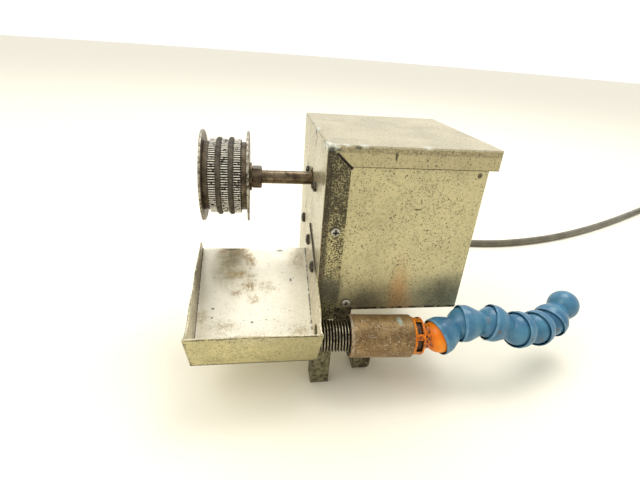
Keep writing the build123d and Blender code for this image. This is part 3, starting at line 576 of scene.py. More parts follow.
def paint_galvanised():
    """Aged galvanised sheet: beige clouds, dark specks, a dirty flange, stains and marks."""
    p = Paint("galvanised_sheet", metallic=0.55)
    box_low, box_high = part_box("top_left_cover")
    front, left, top = box_low.y / MM, box_low.x / MM, box_high.z / MM
    clouds = p.noise(26, 3, 0.5, 3, twist=0.6)
    fine = p.noise(2.0, 5, 0.8, 11)
    on_left = p.within(X, left - 2, left + 0.5, 0.2)
    on_top = p.within(Z, top - 0.5, top + 2, 0.2)
    on_front = p.within(Y, front - 1, front + 0.6, 0.2)
    mitre = p.turned((left * MM + 0.0052, 0, top * MM - 0.0042), (0, 42.5, 0))
    on_flange = p.times(p.within(X, left + 0.4, left + 15.4, 0.2), on_front)
    on_flange = p.times(on_flange, p.span(p.coordinate(Z, mitre), -0.4, 0.4, 1, 0))
    on_lid = p.times(p.within(Z, top - 13, top + 1, 0.2), on_front)
    p.coat(p.mix(p.span(clouds, 0.26, 0.62), OLIVE, BEIGE))
    p.coat((0.47, 0.42, 0.275), on_left, 0.8)
    p.coat(p.mix(p.span(clouds, 0.3, 0.7), (0.47, 0.42, 0.285), (0.57, 0.515, 0.375)), on_top, 0.85)
    p.coat((0.4, 0.33, 0.19), on_lid, 0.45)
    p.coat(DARK_OLIVE, p.span(fine, 0.46, 0.68), p.span(clouds, 0.3, 0.6, 0.52, 0.3))
    # the left flange: a smooth brown bend, then dense dark specks that merge in its upper half
    height = p.coordinate(Z)
    speckled = p.noise(0.95, 3.5, 0.75, 21)
    patches = p.span(p.noise(8, 3, 0.6, 31), 0.35, 0.65, -0.035, 0.035)
    share = p.plus(p.span(height, 106, 124, 0.468, 0.405), patches)
    grit = p.times(on_flange, p.span(p.calc("SUBTRACT", speckled, share), 0.0, 0.07))
    bend = p.times(on_flange, p.span(p.coordinate(X), left + 3.2, left + 5.4, 0.85, 0.0))
    upper = p.times(on_flange, p.span(height, 104, 122, 0.0, 0.5))
    p.coat((0.54, 0.475, 0.225), on_flange, 0.55)
    p.coat((0.2, 0.17, 0.095), upper)
    p.coat((0.125, 0.1, 0.06), bend)
    p.coat((0.036, 0.03, 0.018), grit, 0.92)
    dirt = p.most(grit, bend)
    # a rust coloured glow low on the front panel, and dark smudges along its foot that are painted shade and a
    # painted reflection of the hose
    glow = p.spot((-6, front, 64), (11, 6, 34), 0.15, 9, 2, core=0.0)
    p.coat((0.58, 0.33, 0.13), glow, 0.7)
    foot_shade_and_reflection = p.stains([
        ((-29, front, 57), (24, 6, 22), 0.3, 9, 4, 0.0),
        ((28, front, 64), (30, 6, 20), 0.3, 9, 6, 0.0),
        ((-54.5, front, 67), (11, 6, 15), 0.35, 5, 8, 0.35),
    ])
    p.coat((0.125, 0.12, 0.085), foot_shade_and_reflection, 0.85)
    # scratches and dark marks round the spindle hole and on the upper left face
    marks = p.stains([
        ((left, 45, 131), (3, 2.2, 4), 0.6, 1.6, 3),
        ((left, 27, 132), (3, 3.0, 3.5), 0.6, 1.6, 9),
        ((left, 10.3, 163.5), (3, 2.6, 3.0), 0.6, 1.5, 1),
        ((left, 6, 158.5), (3, 1.3, 6.5), 0.5, 1.5, 5),
        ((left, 43, 97), (3, 2, 5), 0.6, 1.5, 6),
        ((34.8, front, 149.5), (2.4, 4, 2.2), 0.6, 1.1, 2),
        ((46.6, front, 75), (3.0, 4, 2.0), 0.6, 1.1, 3),
        ((-22, front, 160.5), (1.1, 4, 3.2), 0.7, 1.1, 7),
        ((-2, front, 126), (3.6, 4, 0.7), 0.4, 1, 6),
    ])
    p.coat(SPECK, marks, 0.85)
    # bare bluish grey metal on the knocked corner, a worn rim along the lid's front that is also a painted
    # highlight of its fold, a dark strip below
    chips = p.span(p.noise(0.9, 3, 0.7, 14), 0.45, 0.50)
    corner = p.stains([
        ((-62.5, front, 166), (4.4, 5, 4.2), 0.8, 1.2, 3, 0.3),
        ((-59.0, front, 164.8), (3.4, 4, 2.8), 0.8, 1.2, 6, 0.3),
        ((left, -34, 165.5), (3, 6, 4.4), 0.8, 1.2, 8, 0.3),
        ((-42, front, 166.2), (4.2, 4, 2.0), 0.8, 1.2, 4, 0.3),
        ((-53, front, 166.2), (3.4, 4, 1.8), 0.8, 1.2, 5, 0.3),
        ((left, 9, 165.6), (3, 7, 2.2), 0.8, 1.2, 2, 0.3),
        ((-3, front, 165.8), (4.0, 4, 1.6), 0.8, 1.2, 9, 0.3),
    ])
    # the pale band along the lid's front edge is wear and a painted highlight of the fold
    edge = p.times(p.within(Z, top - 1.1, top + 1, 0.3), p.within(Y, front - 1, front + 1.4, 0.4))
    edge = p.times(edge, p.span(p.noise(2.2, 4, 0.7, 41), 0.35, 0.6, 0.15, 0.75))
    p.coat((0.56, 0.51, 0.4), edge)
    strip = p.times(
        p.within(Z, top - 4.6, top - 1.2, 0.7), p.within(Y, front - 1, front + 0.5, 0.2),
        p.within(X, left + 7, 60, 1.5),
    )
    strip = p.times(strip, p.span(p.noise(1.5, 5, 0.8, 24), 0.42, 0.6, 0.1, 0.7))
    p.coat((0.115, 0.095, 0.06), strip)
    p.coat((0.74, 0.77, 0.7), corner, p.span(chips, 0, 1, 0.35, 1.0))
    nicks = p.times(on_left, p.span(height, 146, 160), p.specks(1.3, 1.0, 9, 27))
    p.coat((0.1, 0.095, 0.075), nicks, 0.8)
    blots = p.stains([
        ((left, -31, 162.2), (3, 3.0, 2.4), 0.8, 1.2, 9, 0.3),
        ((left, 11, 162.8), (3, 2.0, 2.0), 0.8, 1.2, 4, 0.3),
        ((-46, front, 164.6), (3.0, 4, 1.6), 0.8, 1.2, 7, 0.3),
        ((left, 30, 165), (3, 3.0, 1.8), 0.8, 1.2, 8, 0.3),
        ((-61, front, 163.4), (3, 4, 1.8), 0.8, 1.2, 12, 0.3),
        ((-57.5, front, 163), (2.4, 4, 1.4), 0.8, 1.2, 15, 0.3),
    ])
    p.coat((0.07, 0.08, 0.07), blots, 0.85)
    # painted shade: the open mitre is painted black, and painted shadow lines lie along the lid's lower edge and
    # along the front panel's foot
    mitre_gap_shade = p.times(p.within(X, 1.2, 15.2, 0.3, mitre), p.within(Z, -0.75, 0.75, 0.2, mitre))
    mitre_gap_shade = p.times(mitre_gap_shade, p.within(Y, front - 1, front + 2, 0.3))
    lid_edge_shadow = p.times(p.within(Z, top - 13.5, top - 12.7, 0.2), p.within(X, left + 15, 60, 0.4))
    lid_edge_shadow = p.times(lid_edge_shadow, p.within(Y, front - 1, front + 2, 0.3), 0.8)
    foot_gap_shadow = p.times(
        p.within(Z, 45, 51.4, 0.5), p.within(Y, front - 1, front + 2.2, 0.3),
        p.within(X, left + 14, 80, 0.4), p.span(p.noise(3.0, 3, 0.6, 18), 0.4, 0.56, 0.15, 0.9),
    )
    p.coat((0.012, 0.01, 0.008), p.most(mitre_gap_shade, lid_edge_shadow, foot_gap_shadow))
    # dark specks of four sizes, fainter on the top face
    specks = p.most(
        p.specks(0.80, 0.72, 20, 1, gather=0.14), p.specks(1.3, 0.50, 24, 15, gather=0.18),
        p.specks(1.9, 0.35, 18, 5), p.dots(5.5, 0.8, 0.25, 9),
    )
    p.coat(SPECK, specks, p.span(p.coordinate(Z), top - 1, top, 0.95, 0.5))
    rough = p.calc("SUBTRACT", p.span(clouds, 0.3, 0.7, 0.34, 0.44), p.times(on_left, 0.12))
    rough = p.plus(rough, p.times(p.most(specks, marks, dirt, foot_shade_and_reflection), 0.22))
    p.put("Roughness", rough)
    p.bump((p.noise(42, 2, 0.5, 17), 1.6), (specks, -0.08), (p.noise(0.7, 3, 0.6, 5), 0.03))
    return p


def paint_tray():
    """Worn bright tray sheet: its floor is stained below the drum and rusty in spots."""
    p = Paint("tray_sheet", metallic=0.5)
    place = p.turned(TRAY_CORNER, (degrees(TRAY_TILT), 0, 0))
    across, deep, high = [p.coordinate(axis, place) for axis in (X, Y, Z)]

    def band(axis, low, top, soft):
        """1 between two values of one coordinate of the tray's own frame."""
        return p.within(axis, low, top, soft, place)

    clouds = p.noise(15, 5, 0.6, 4, twist=0.5)
    fine = p.noise(2.0, 5, 0.75, 8)
    inside = p.times(
        band(Z, 0.5, TRAY_TALL + 0.5, 0.3), band(X, 0.45, TRAY_WIDE - 0.5, 0.2),
        band(Y, 0.45, TRAY_DEEP + 1, 0.2),
    )
    floor = p.times(band(Z, 0.6, 2.0, 0.3), inside)
    # outside faces are olive and pitted, inner walls are duller than the worn floor
    p.coat(p.mix(p.span(clouds, 0.35, 0.65), (0.56, 0.505, 0.26), (0.71, 0.635, 0.345)))
    p.coat((0.22, 0.19, 0.09), p.span(fine, 0.48, 0.72), 0.45)
    wall = p.mix(p.span(clouds, 0.35, 0.7), (0.60, 0.54, 0.37), (0.78, 0.715, 0.53))
    wall = p.mix(p.times(p.span(fine, 0.46, 0.64), 0.6), wall, (0.27, 0.22, 0.14))
    left_wall = p.times(band(X, -2, 1.2, 0.3), p.span(fine, 0.4, 0.62, 0.25, 0.8))
    wall = p.mix(left_wall, wall, (0.33, 0.275, 0.175))
    p.coat(wall, inside)
    bright = p.mix(p.span(fine, 0.45, 0.8), (0.97, 0.925, 0.78), (0.80, 0.735, 0.56))
    p.coat(bright, floor)
    # the drum's drip stain is a soft grey cloud, darker at the back, with a broken brown ring round it
    cloud = p.spot((22, 76, 1), (17, 27, 9), 0.25, 9, 3, core=0.2, place=place)
    blotch = p.noise(5.5, 5, 0.75, 15)
    p.coat((0.31, 0.265, 0.155), cloud, p.span(blotch, 0.25, 0.6, 0.48, 0.88))
    darker = p.spot((24, 86, 1), (15, 13, 9), 0.4, 7, 6, core=0.1, place=place)
    p.coat((0.235, 0.2, 0.115), darker, p.span(blotch, 0.3, 0.6, 0.35, 0.85), floor)
    ring = p.stains([
        ((38, 82, 1), (7, 13, 9), 0.8, 4, 5, 0.0),
        ((31, 91, 1), (12, 5, 9), 0.8, 4, 7, 0.0),
        ((30, 69, 1), (14, 6, 9), 0.9, 4, 8, 0.0),
        ((37, 59, 1), (9, 10, 9), 0.9, 3, 2, 0.0),
        ((41, 48, 1), (8, 6, 9), 0.9, 3, 12, 0.0),
    ], place)
    tan = p.stains([
        ((3, 34, 1), (9, 8, 9), 0.8, 4, 9, 0.1),
        ((20, 26, 1), (16, 6, 9), 0.9, 3, 6, 0.1),
        ((73, 22, 1), (10, 7, 9), 0.9, 3, 8, 0.1),
        ((50, 58, 1), (12, 9, 9), 0.9, 4, 3, 0.0),
        ((74, 82, 1), (9, 14, 9), 0.6, 6, 14, 0.0),
        ((40, 14, 1), (34, 9, 9), 0.9, 3, 16, 0.0),
    ], place)
    broken = p.span(p.noise(2.6, 5, 0.8, 33), 0.38, 0.58, 0.15, 1.0)
    p.coat((0.36, 0.255, 0.1), ring, broken, floor)
    p.coat((0.42, 0.33, 0.17), tan, broken, floor, 0.62)
    rust = p.stains([
        ((28, 53, 1), (7, 4.5, 9), 0.9, 2.4, 5, 0.1),
        ((18, 91, 1), (6, 4, 9), 0.8, 3, 3, 0.1),
        ((35, 86, 1), (5, 4, 9), 0.8, 3, 13, 0.1),
    ], place)
    p.coat((0.36, 0.225, 0.1), rust, broken, floor, 0.75)
    # black marks, specks and pits
    dark = p.stains([
        ((61, 91, 1), (5, 1.6, 9), 0.9, 1.4, 4, 0.2),
        ((68.5, 63.6, 1), (1.0, 1.8, 9), 0.3, 1, 1),
        ((39.5, 29.1, 1), (1.3, 1.0, 9), 0.3, 1, 2),
        ((24, 92.4, 1), (9, 1.5, 9), 0.7, 1.4, 8, 0.2),
        ((82.5, 57.2, 25.5), (3, 2.2, 5), 0.7, 1.5, 2, 0.3),
        ((82.5, 85.0, 20.0), (3, 1.6, 5), 0.7, 1.5, 5, 0.3),
        ((12, 40.4, 1), (1.4, 1.0, 9), 0.4, 1, 22),
        ((11.7, 33.4, 1), (1.0, 0.8, 9), 0.4, 1, 23),
    ], place)
    near_front = p.span(deep, 60, 6, 0.15, 1.0)
    specks = p.most(
        p.times(p.specks(1.0, 0.6, 8, 3, place=place), near_front), p.dots(3.2, 0.62, 0.16, 8),
    )
    specks = p.most(specks, p.times(p.specks(1.6, 0.3, 9, 13, (0.4, 1, 1), place), 0.5))
    pits = p.times(p.rest(floor), p.most(p.specks(0.9, 0.8, 7, 12), p.specks(1.8, 0.5, 12, 4)))
    rim_left = p.times(band(X, -1.5, 1.4, 0.2), p.specks(1.1, 1.5, 9, 17))
    p.coat(SPECK, p.most(dark, specks, pits, rim_left), 0.75)
    # painted shadow of the gap between the right wall and the housing, along the back half of that wall's rim, and
    # the front wall's outside darker towards the right
    below_rim = p.plus(high, p.times(deep, (TRAY_TALL - RIGHT_BACK) / TRAY_DEEP))
    rim_gap_shadow = p.times(p.span(below_rim, 38.6, 39.4), band(X, 80.5, 86, 0.3), p.span(deep, 38, 52))
    p.coat((0.03, 0.025, 0.018), rim_gap_shadow, 0.9)
    low_edge = p.times(band(Y, -1.5, 0.6, 0.2), band(Z, -2, 1.0, 0.5))
    p.coat((0.06, 0.05, 0.03), low_edge, p.span(p.noise(4, 3, 0.6, 19), 0.35, 0.55, 0.3, 0.85))
    darker_right = p.times(band(Y, -1.5, 0.6, 0.2), p.span(across, 30, 84, 0.0, 0.45))
    p.coat((0.25, 0.225, 0.12), darker_right, p.span(clouds, 0.35, 0.6, 0.4, 1.0))
    # grime in the folds
    folds = p.most(
        p.times(band(X, 0, 1.5, 0.3), band(Z, 0, 2.0, 0.5)),
        p.times(band(X, 81.3, 83, 0.4), band(Z, 0, 2.2, 0.5)),
        p.times(band(Y, 0, 1.8, 0.4), band(Z, 0, 2.2, 0.7)),
        p.times(band(Y, -0.5, 0.6, 0.3), band(Z, 39.0, 40.4, 0.4)),
    )
    p.coat((0.06, 0.048, 0.03), folds, p.span(p.noise(3.2, 4, 0.7, 5), 0.38, 0.54, 0.15, 0.95))
    dull = p.times(p.most(cloud, specks, p.rest(inside)), 0.2)
    p.put("Roughness", p.plus(p.span(clouds, 0.3, 0.7, 0.3, 0.42), dull))
    p.bump((p.noise(30, 2, 0.5, 9), 1.0), (p.noise(0.9, 3, 0.6, 3), 0.03))
    return p


def paint_ribbed():
    """Steel ring: bright worn crests on dark packed grime."""
    p = Paint("ribbed_steel", metallic=0.8)
    radius = p.radius(SPINDLE, X_AXIS)
    worn = p.noise(2.4, 4, 0.7, 4)
    edge = p.plus(radius, p.span(worn, 0.25, 0.75, -0.3, 0.3))
    bright = p.span(edge, CREST - 0.75, CREST - 0.30)
    steel = p.mix(p.span(worn, 0.42, 0.72), (1.0, 0.97, 0.87), (0.72, 0.65, 0.51))
    grime = p.mix(p.noise(1.2, 4, 0.7, 9), (0.008, 0.006, 0.004), (0.05, 0.036, 0.022))
    p.put("Base Color", p.mix(bright, grime, steel))
    p.put("Roughness", p.span(bright, 0, 1, 0.72, 0.26))
    p.put("Metallic", p.span(bright, 0, 1, 0.2, 0.3))
    p.bump((p.noise(0.5, 3, 0.6, 2), 0.04))
    return p


def paint_disc():
    """Thin steel discs: brown stain, blotched, with a paler rim that is both wear and painted highlight."""
    p = Paint("disc_steel", metallic=0.7)
    radius = p.radius(SPINDLE, X_AXIS)
    blotch = p.noise(9, 6, 0.72, 5)
    p.coat(p.mix(p.span(blotch, 0.32, 0.68), (0.06, 0.044, 0.028), (0.23, 0.185, 0.125)))
    # a paler rim: worn steel and a painted highlight
    rim = p.times(p.span(radius, 30.2, 31.6), p.span(p.noise(3.0, 4, 0.7, 8), 0.4, 0.58))
    p.coat((0.6, 0.56, 0.46), rim, 0.85)
    specks = p.specks(0.9, 0.7, 7, 4)
    p.coat((0.03, 0.024, 0.016), specks, 0.7)
    p.put("Roughness", p.span(blotch, 0.35, 0.7, 0.50, 0.34))
    p.bump((p.noise(0.7, 3, 0.6, 6), 0.03), (specks, -0.05))
    return p


def paint_spindle():
    """Browned, oily spindle steel with fine turning marks."""
    p = Paint("spindle_steel", metallic=0.85)
    streak = p.noise(1.1, 3, 0.6, 5, stretch=(1, 0.12, 0.12))
    blotch = p.noise(6, 4, 0.6, 7)
    p.coat(p.mix(p.span(blotch, 0.35, 0.65), (0.075, 0.052, 0.032), (0.235, 0.18, 0.115)))
    p.coat((0.045, 0.032, 0.02), p.span(streak, 0.5, 0.7), 0.45)
    p.gloss(blotch, 0.18, 0.34)
    p.bump((streak, 0.02), (p.noise(0.6, 3, 0.6, 2), 0.02))
    return p


def paint_spacer():
    """Dusty dark rubber."""
    p = Paint("spacer_rubber")
    dust = p.noise(4, 4, 0.65, 6)
    p.put("Base Color", p.mix(p.span(dust, 0.35, 0.7), (0.035, 0.028, 0.020), (0.135, 0.112, 0.082)))
    p.put("Specular IOR Level", 0.3)
    p.gloss(dust, 0.55, 0.75)
    p.bump((p.noise(0.6, 3, 0.6, 4), 0.05))
    return p


def paint_pipe():
    """Black pipe: oily black threads with bright worn crests."""
    p = Paint("black_pipe")
    radius = p.radius(PIPE_AT, PIPE_DIR)
    worn = p.noise(2.2, 4, 0.7, 3)
    bright = p.times(p.span(radius, 10.15, 10.5), p.span(worn, 0.3, 0.52))
    p.put("Base Color", p.mix(p.times(bright, 0.85), (0.018, 0.014, 0.008), (0.52, 0.47, 0.34)))
    p.put("Metallic", p.span(bright, 0, 1, 0.5, 0.95))
    p.gloss(worn, 0.16, 0.30)
    p.bump((p.noise(0.6, 3, 0.6, 4), 0.05))
    return p


def paint_coupling():
    """Oxide brown forged steel, speckled, with a splash of pale paint."""
    p = Paint("coupling_steel", metallic=0.55)
    clouds = p.noise(9, 5, 0.65, 5, twist=0.5)
    fine = p.noise(1.1, 4, 0.7, 9)
    p.coat(p.mix(p.span(clouds, 0.35, 0.65), (0.19, 0.112, 0.045), (0.34, 0.228, 0.098)))
    p.coat((0.09, 0.058, 0.032), p.span(fine, 0.55, 0.8), 0.55)
    p.coat((0.045, 0.03, 0.016), p.specks(1.2, 0.8, 7, 3), 0.8)
    bare = p.most(p.specks(0.65, 0.6, 5, 23), p.specks(0.9, 0.45, 6, 33, (0.35, 1, 1)))
    p.coat((0.74, 0.65, 0.45), bare, 0.85)
    scratch = p.noise(1.0, 2, 0.5, 6, stretch=(0.12, 1, 1))
    p.coat((0.4, 0.35, 0.28), p.span(scratch, 0.66, 0.74), 0.5)
    worn_end = p.times(p.within(X, -43.6, -41.9, 0.5), p.span(p.noise(2.5, 3, 0.6, 2), 0.35, 0.6))
    p.coat((0.5, 0.44, 0.35), worn_end, 0.6)
    # painted shade: the coupling's left end face, which lies in shadow, is painted nearly black
    end_face_shade = p.times(
        p.within(X, -46, -42.9, 0.15), p.span(p.radius(PIPE_AT, PIPE_DIR), 13.6, 13.9, 1, 0),
    )
    p.coat((0.03, 0.024, 0.015), end_face_shade, 0.85)
    splash = p.spot((-10.4, -60, 55), (2.4, 5.5, 3.0), 0.9, 1.3, 5, core=0.3)
    p.coat((0.42, 0.52, 0.46), splash)
    p.gloss(clouds, 0.36, 0.52)
    p.bump((fine, 0.10), (p.noise(4, 3, 0.6, 3), 0.15), (splash, 0.1))
    return p


def paint_screws():
    """Plated screws: dark and oily on the left face, paler at the front, with black cross recesses and head rims
    of painted shade.
    """
    p = Paint("plated_screw", metallic=0.4)
    worn = p.noise(1.5, 4, 0.6, 4)
    p.coat(p.mix(p.span(worn, 0.38, 0.7), (0.014, 0.011, 0.008), (0.14, 0.115, 0.075)))
    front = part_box("cover_screws")[0].y / MM
    pale = p.times(p.within(Y, front - 1, front + 2.5, 0.2), p.span(worn, 0.3, 0.5, 0.45, 0.95))
    p.coat((0.56, 0.52, 0.41), pale)
    # painted shade: the cross recess and the head's rim of the foremost front screw of each kind are painted black
    for node in ("cover_screws", "panel_screws"):
        low, high = min(solids_of(node), key=lambda solid: solid[0].y)
        middle = (low + high) / 2
        x, z = middle.x / MM, middle.z / MM
        recess_shade = []
        for wide, tall in ((1.7, 0.65), (0.65, 1.7)):
            level = p.within(X, x - wide, x + wide, 0.15)
            recess_shade.append(p.times(level, p.within(Z, z - tall, z + tall, 0.15)))
        out = p.radius(middle, (0, 1, 0))
        rim = p.times(p.span(out, 2.9, 3.2), p.span(out, 4.2, 4.6, 1, 0))
        p.coat((0.008, 0.007, 0.005), p.most(*recess_shade, rim), p.within(Y, front - 1, front + 2.5, 0.2))
    p.gloss(worn, 0.5, 0.28)
    p.bump((p.noise(0.5, 3, 0.6, 11), 0.05))
    return p


def collar_grime_and_shade(p, fine):
    """Painted shade on the walls of the connector's pockets with rusty grime on their floors, and grime round
    their edges and between its collar and its ball.
    """
    along, out = p.ahead(PIPE_AT, PIPE_DIR), p.radius(PIPE_AT, PIPE_DIR)
    pocket_wall_shade = p.times(
        p.span(along, POCKET - 0.3, POCKET - 0.1), p.span(along, POCKET_END + 0.1, POCKET_END + 0.3, 1, 0),
        p.span(out, 12.3, 12.6, 1, 0),
    )
    lip = p.times(
        p.span(along, POCKET - 1.0, POCKET - 0.3), p.span(along, POCKET_END + 0.3, POCKET_END + 1.0, 1, 0),
        p.span(p.noise(1.6, 3, 0.7, 3), 0.40, 0.55, 0.0, 0.75),
    )
    neck = p.times(
        p.span(along, COLLAR_END - 0.2, COLLAR_END + 0.1), p.span(along, BALL_S - 10, BALL_S - 7, 1, 0),
        p.span(p.noise(1.5, 4, 0.75, 12), 0.44, 0.56, 0.05, 0.95),
    )
    # painted shade: the pockets' walls turn black above their rusty floors
    rusty = p.mix(p.span(fine, 0.4, 0.6), (0.22, 0.075, 0.02), (0.05, 0.025, 0.012))
    bottom = p.span(out, POCKET_FLOOR + 0.1, POCKET_FLOOR + 0.5)
    p.coat(p.mix(bottom, rusty, (0.010, 0.007, 0.004)), pocket_wall_shade)
    p.coat((0.06, 0.028, 0.012), p.most(lip, neck))


def scuffed_plastic(name, dark, light, scuff, seed, spots, mouths, collar=False):
    """Moulded plastic: a soft variation of tone, brown scuffs at given places, and socket mouths darkened by grime
    and painted shade.
    """
    p = Paint(name)
    p.put("Specular IOR Level", 0.28 if collar else 0.5)
    fine = p.noise(1.6, 4, 0.7, seed + 3)
    p.coat(p.mix(p.span(p.noise(12, 3, 0.5, seed), 0.35, 0.65), dark, light))
    p.coat([0.55 * c for c in dark], p.span(fine, 0.58, 0.8), 0.35)
    marks = p.stains([(at, radii, 1.1, 2.6, 3 + 2 * k, 0.0) for k, (at, radii) in enumerate(spots)])
    smear = p.span(p.noise(3.5, 5, 0.7, seed + 9, twist=0.8), 0.52, 0.72, 0.0, 0.35)
    p.coat([0.5 * (a + b) for a, b in zip(dark, scuff)], smear)
    p.coat(scuff, p.most(marks, p.dots(4.2, 0.55, 0.20, seed)), 0.7)
    # each mouth has a worn pale lip, and the groove between it and the ball inside is painted black: grime and
    # painted shade
    lips, groove_grime_and_shade = [], []
    for centre, heading in mouths:
        ahead, out = p.ahead(centre, heading), p.radius(centre, heading)
        mouth = p.times(
            p.span(ahead, -4.6, -4.0), p.span(ahead, -1.6, -1.0, 1, 0), p.span(out, 13.6, 14.0, 1, 0),
        )
        groove_grime_and_shade.append(p.times(mouth, p.span(out, 11.25, 11.4), p.span(out, 12.2, 12.35, 1, 0)))
        lips.append(p.times(mouth, p.span(out, 12.5, 12.7)))
    worn = p.span(p.noise(5, 3, 0.6, 2), 0.3, 0.6, 0.1, 0.6)
    p.coat([min(1, 0.10 + 1.35 * c) for c in light], p.most(*lips), worn)
    p.coat((0.012, 0.016, 0.022), p.most(*groove_grime_and_shade), 0.90)
    if collar:
        collar_grime_and_shade(p, fine)
    p.put("Roughness", p.plus(p.span(fine, 0.3, 0.7, 0.24, 0.36), p.times(p.most(marks, smear), 0.25)))
    p.bump((p.noise(0.8, 3, 0.6, seed), 0.03), (p.noise(5, 2, 0.5, seed), 0.15))
    return p


def paint_stack(name, dark, light, axis, pitch):
    """Stacked laminations: fine dark lines across one axis."""
    p = Paint(name, metallic=0.7)
    lines = p.noise(pitch, 1, 0.3, 2, stretch=[1.0 if k == axis else 0.02 for k in range(3)])
    p.put("Base Color", p.mix(p.span(lines, 0.4, 0.6), dark, light))
    p.gloss(p.noise(6, 3), 0.4, 0.6)
    p.bump((lines, 0.08))
    return p


# brown scuffs: places in millimetres and radii; the hose's are offsets from its joints
SCUFFS = [(10, -8, 9.5), (13.5, -9, 8), (-1.5, -11.6, 1.5), (3, -12.5, 1.5), (-2, -11, -2), (-1.5, -11.5, 0)]
blue_scuffs = [(HOSE_AT[k] / MM + Vector(offset), (2.6, 4, 2.4)) for k, offset in enumerate(SCUFFS)]
blue_scuffs.append((HOSE_AT[3] / MM + Vector((2.0, -12.0, 3.5)), (1.6, 4, 1.8)))
orange_scuffs = [((10.5, -71, 47), (3.4, 5, 6)), ((5, -70, 44), (2.2, 5, 5)), ((12, -69, 40), (2.0, 5, 4))]

# plain finishes: two tones, cloud size, roughness, metallic, grain depth, seed and grain size
CLOUDY = {
    "cord_jacket": ((0.095, 0.086, 0.055), (0.145, 0.132, 0.088), 14, (0.30, 0.40), 0.0, 0.04, 3),
    "weathered_steel": ((0.055, 0.048, 0.024), (0.24, 0.215, 0.12), 2.4, (0.45, 0.68), 0.5, 0.16, 6, 0.9),
    "bright_copper": ((0.45, 0.20, 0.11), (0.70, 0.36, 0.22), 4, (0.3, 0.5), 0.95),
    "cast_zinc": ((0.33, 0.34, 0.35), (0.52, 0.53, 0.54), 5, (0.45, 0.6), 0.85, 0.08),
    "sintered_bronze": ((0.30, 0.19, 0.08), (0.48, 0.33, 0.16), 2, (0.4, 0.6), 0.9, 0.06),
    "fibre_washer": ((0.16, 0.08, 0.05), (0.28, 0.15, 0.09), 2, (0.7, 0.85)),
    "wire_insulation": ((0.62, 0.61, 0.57), (0.80, 0.79, 0.75), 6, (0.4, 0.5)),
    "wire_nut_plastic": ((0.62, 0.44, 0.03), (0.75, 0.56, 0.06), 6, (0.35, 0.5)),
    "ground_insulation": ((0.03, 0.18, 0.05), (0.05, 0.28, 0.09), 6, (0.4, 0.5)),
    "black_moulding": ((0.022, 0.021, 0.020), (0.045, 0.043, 0.040), 7, (0.42, 0.6), 0.0, 0.05),
    "blade_brass": ((0.55, 0.42, 0.20), (0.75, 0.62, 0.34), 3, (0.25, 0.4), 0.95, 0.02),
}
paints = {name: cloudy(name, *finish) for name, finish in CLOUDY.items()}
for paint in (
    paint_galvanised(), paint_tray(), paint_screws(), paint_ribbed(), paint_disc(), paint_spindle(),
    paint_spacer(), paint_pipe(), paint_coupling(),
    paint_stack("laminated_steel", (0.09, 0.09, 0.095), (0.25, 0.25, 0.26), X, 0.9),
    paint_stack("enamelled_copper", (0.20, 0.07, 0.03), (0.50, 0.22, 0.09), Y, 0.8),
    scuffed_plastic("orange_plastic", (0.82, 0.19, 0.006), (0.90, 0.28, 0.012), (0.10, 0.055, 0.03), 4,
                    orange_scuffs, MOUTHS[:1], collar=True),
    scuffed_plastic("blue_plastic", (0.033, 0.140, 0.258), (0.062, 0.208, 0.325), (0.13, 0.085, 0.055), 8,
                    blue_scuffs, MOUTHS),
):
    paints[paint.name] = paint
record = frame["record"]
slots = {part["node"]: part["material_slot"] for part in record["subparts"]}
bodies = {node: body for body, members in record["behaviour"]["bodies"].items() for node in members}


def dress(name, mesh, node, crease=35):
    """Show a mesh in place of one CAD node, with that node's body and finish."""
    return new_piece(name, mesh, bodies[node], paints[slots[node]], [node], crease)


# ---------------------------------------------------------------- the drum
def from_left_face(node):
    """The point on the spindle's axis at a node's left face."""
    return Vector((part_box(node)[0].x, SPINDLE.y, SPINDLE.z))


def toothed_ring(node, seed, chipped):
    """A ring of ribs with rounded crests, uneven heights and chipped ends."""
    low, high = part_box(node)
    width = (high.x - low.x) / MM
    count = 96
    dice = random.Random(seed)
    drop = [abs(dice.gauss(0, 0.10)) for _ in range(count)]
    lean = [dice.uniform(-0.035, 0.035) for _ in range(count)]
    bites = [[dice.random() < chipped for _ in range(3)] for _ in range(count)]
    rises = (0.0, 0.04, 0.74, 0.97, 0.97, 0.74, 0.04)      # a rib's height at even steps across it
    steps = len(rises)
    depth = 1.3
    margin = 0.3                                           # plain ends, where no bite reaches

    def shape(s, r, angle):
        if r < RING_BORE + 0.1:
            return s, r
        k = int(round(angle / (2 * pi) * count * steps)) % (count * steps)
        tooth, part = divmod(k, steps)
        end = 0.35 if s < 0.1 or s > width - 0.1 else 0.0
        third = min(2, int(3 * s / width))
        bite = 0.45 if bites[tooth][third] and margin < s < width - margin else 0.0
        height = max(0.1, depth - drop[tooth] - end - bite)
        return s, CREST - depth + rises[part] * height + lean[tooth] * s * rises[part]

    stations = [0, margin, 0.9, 1.6, 2.0, 2.8, 3.2, 3.9, width - margin, width]
    outline = [(s, CREST) for s in stations] + [(width, RING_BORE), (0, RING_BORE)]
    mesh = lathe(node + "_teeth", outline, from_left_face(node), X_AXIS, count * steps, shape)
    dress(node + "_teeth", mesh, node, 28)


def turned_part(node, corners, crease=30, shape=None):
    """A part turned on the spindle's axis, from corners measured from its left face."""
    mesh = lathe(node + "_turned", rounded(corners), from_left_face(node), X_AXIS, 128, shape)
    dress(node + "_turned", mesh, node, crease)


def collar_corners(radius, width, fillet):
    """A plain ring on the spindle, as corners for turned_part."""
    return [(0, RING_BORE, 0), (0, radius, fillet), (width, radius, fillet), (width, RING_BORE, 0)]


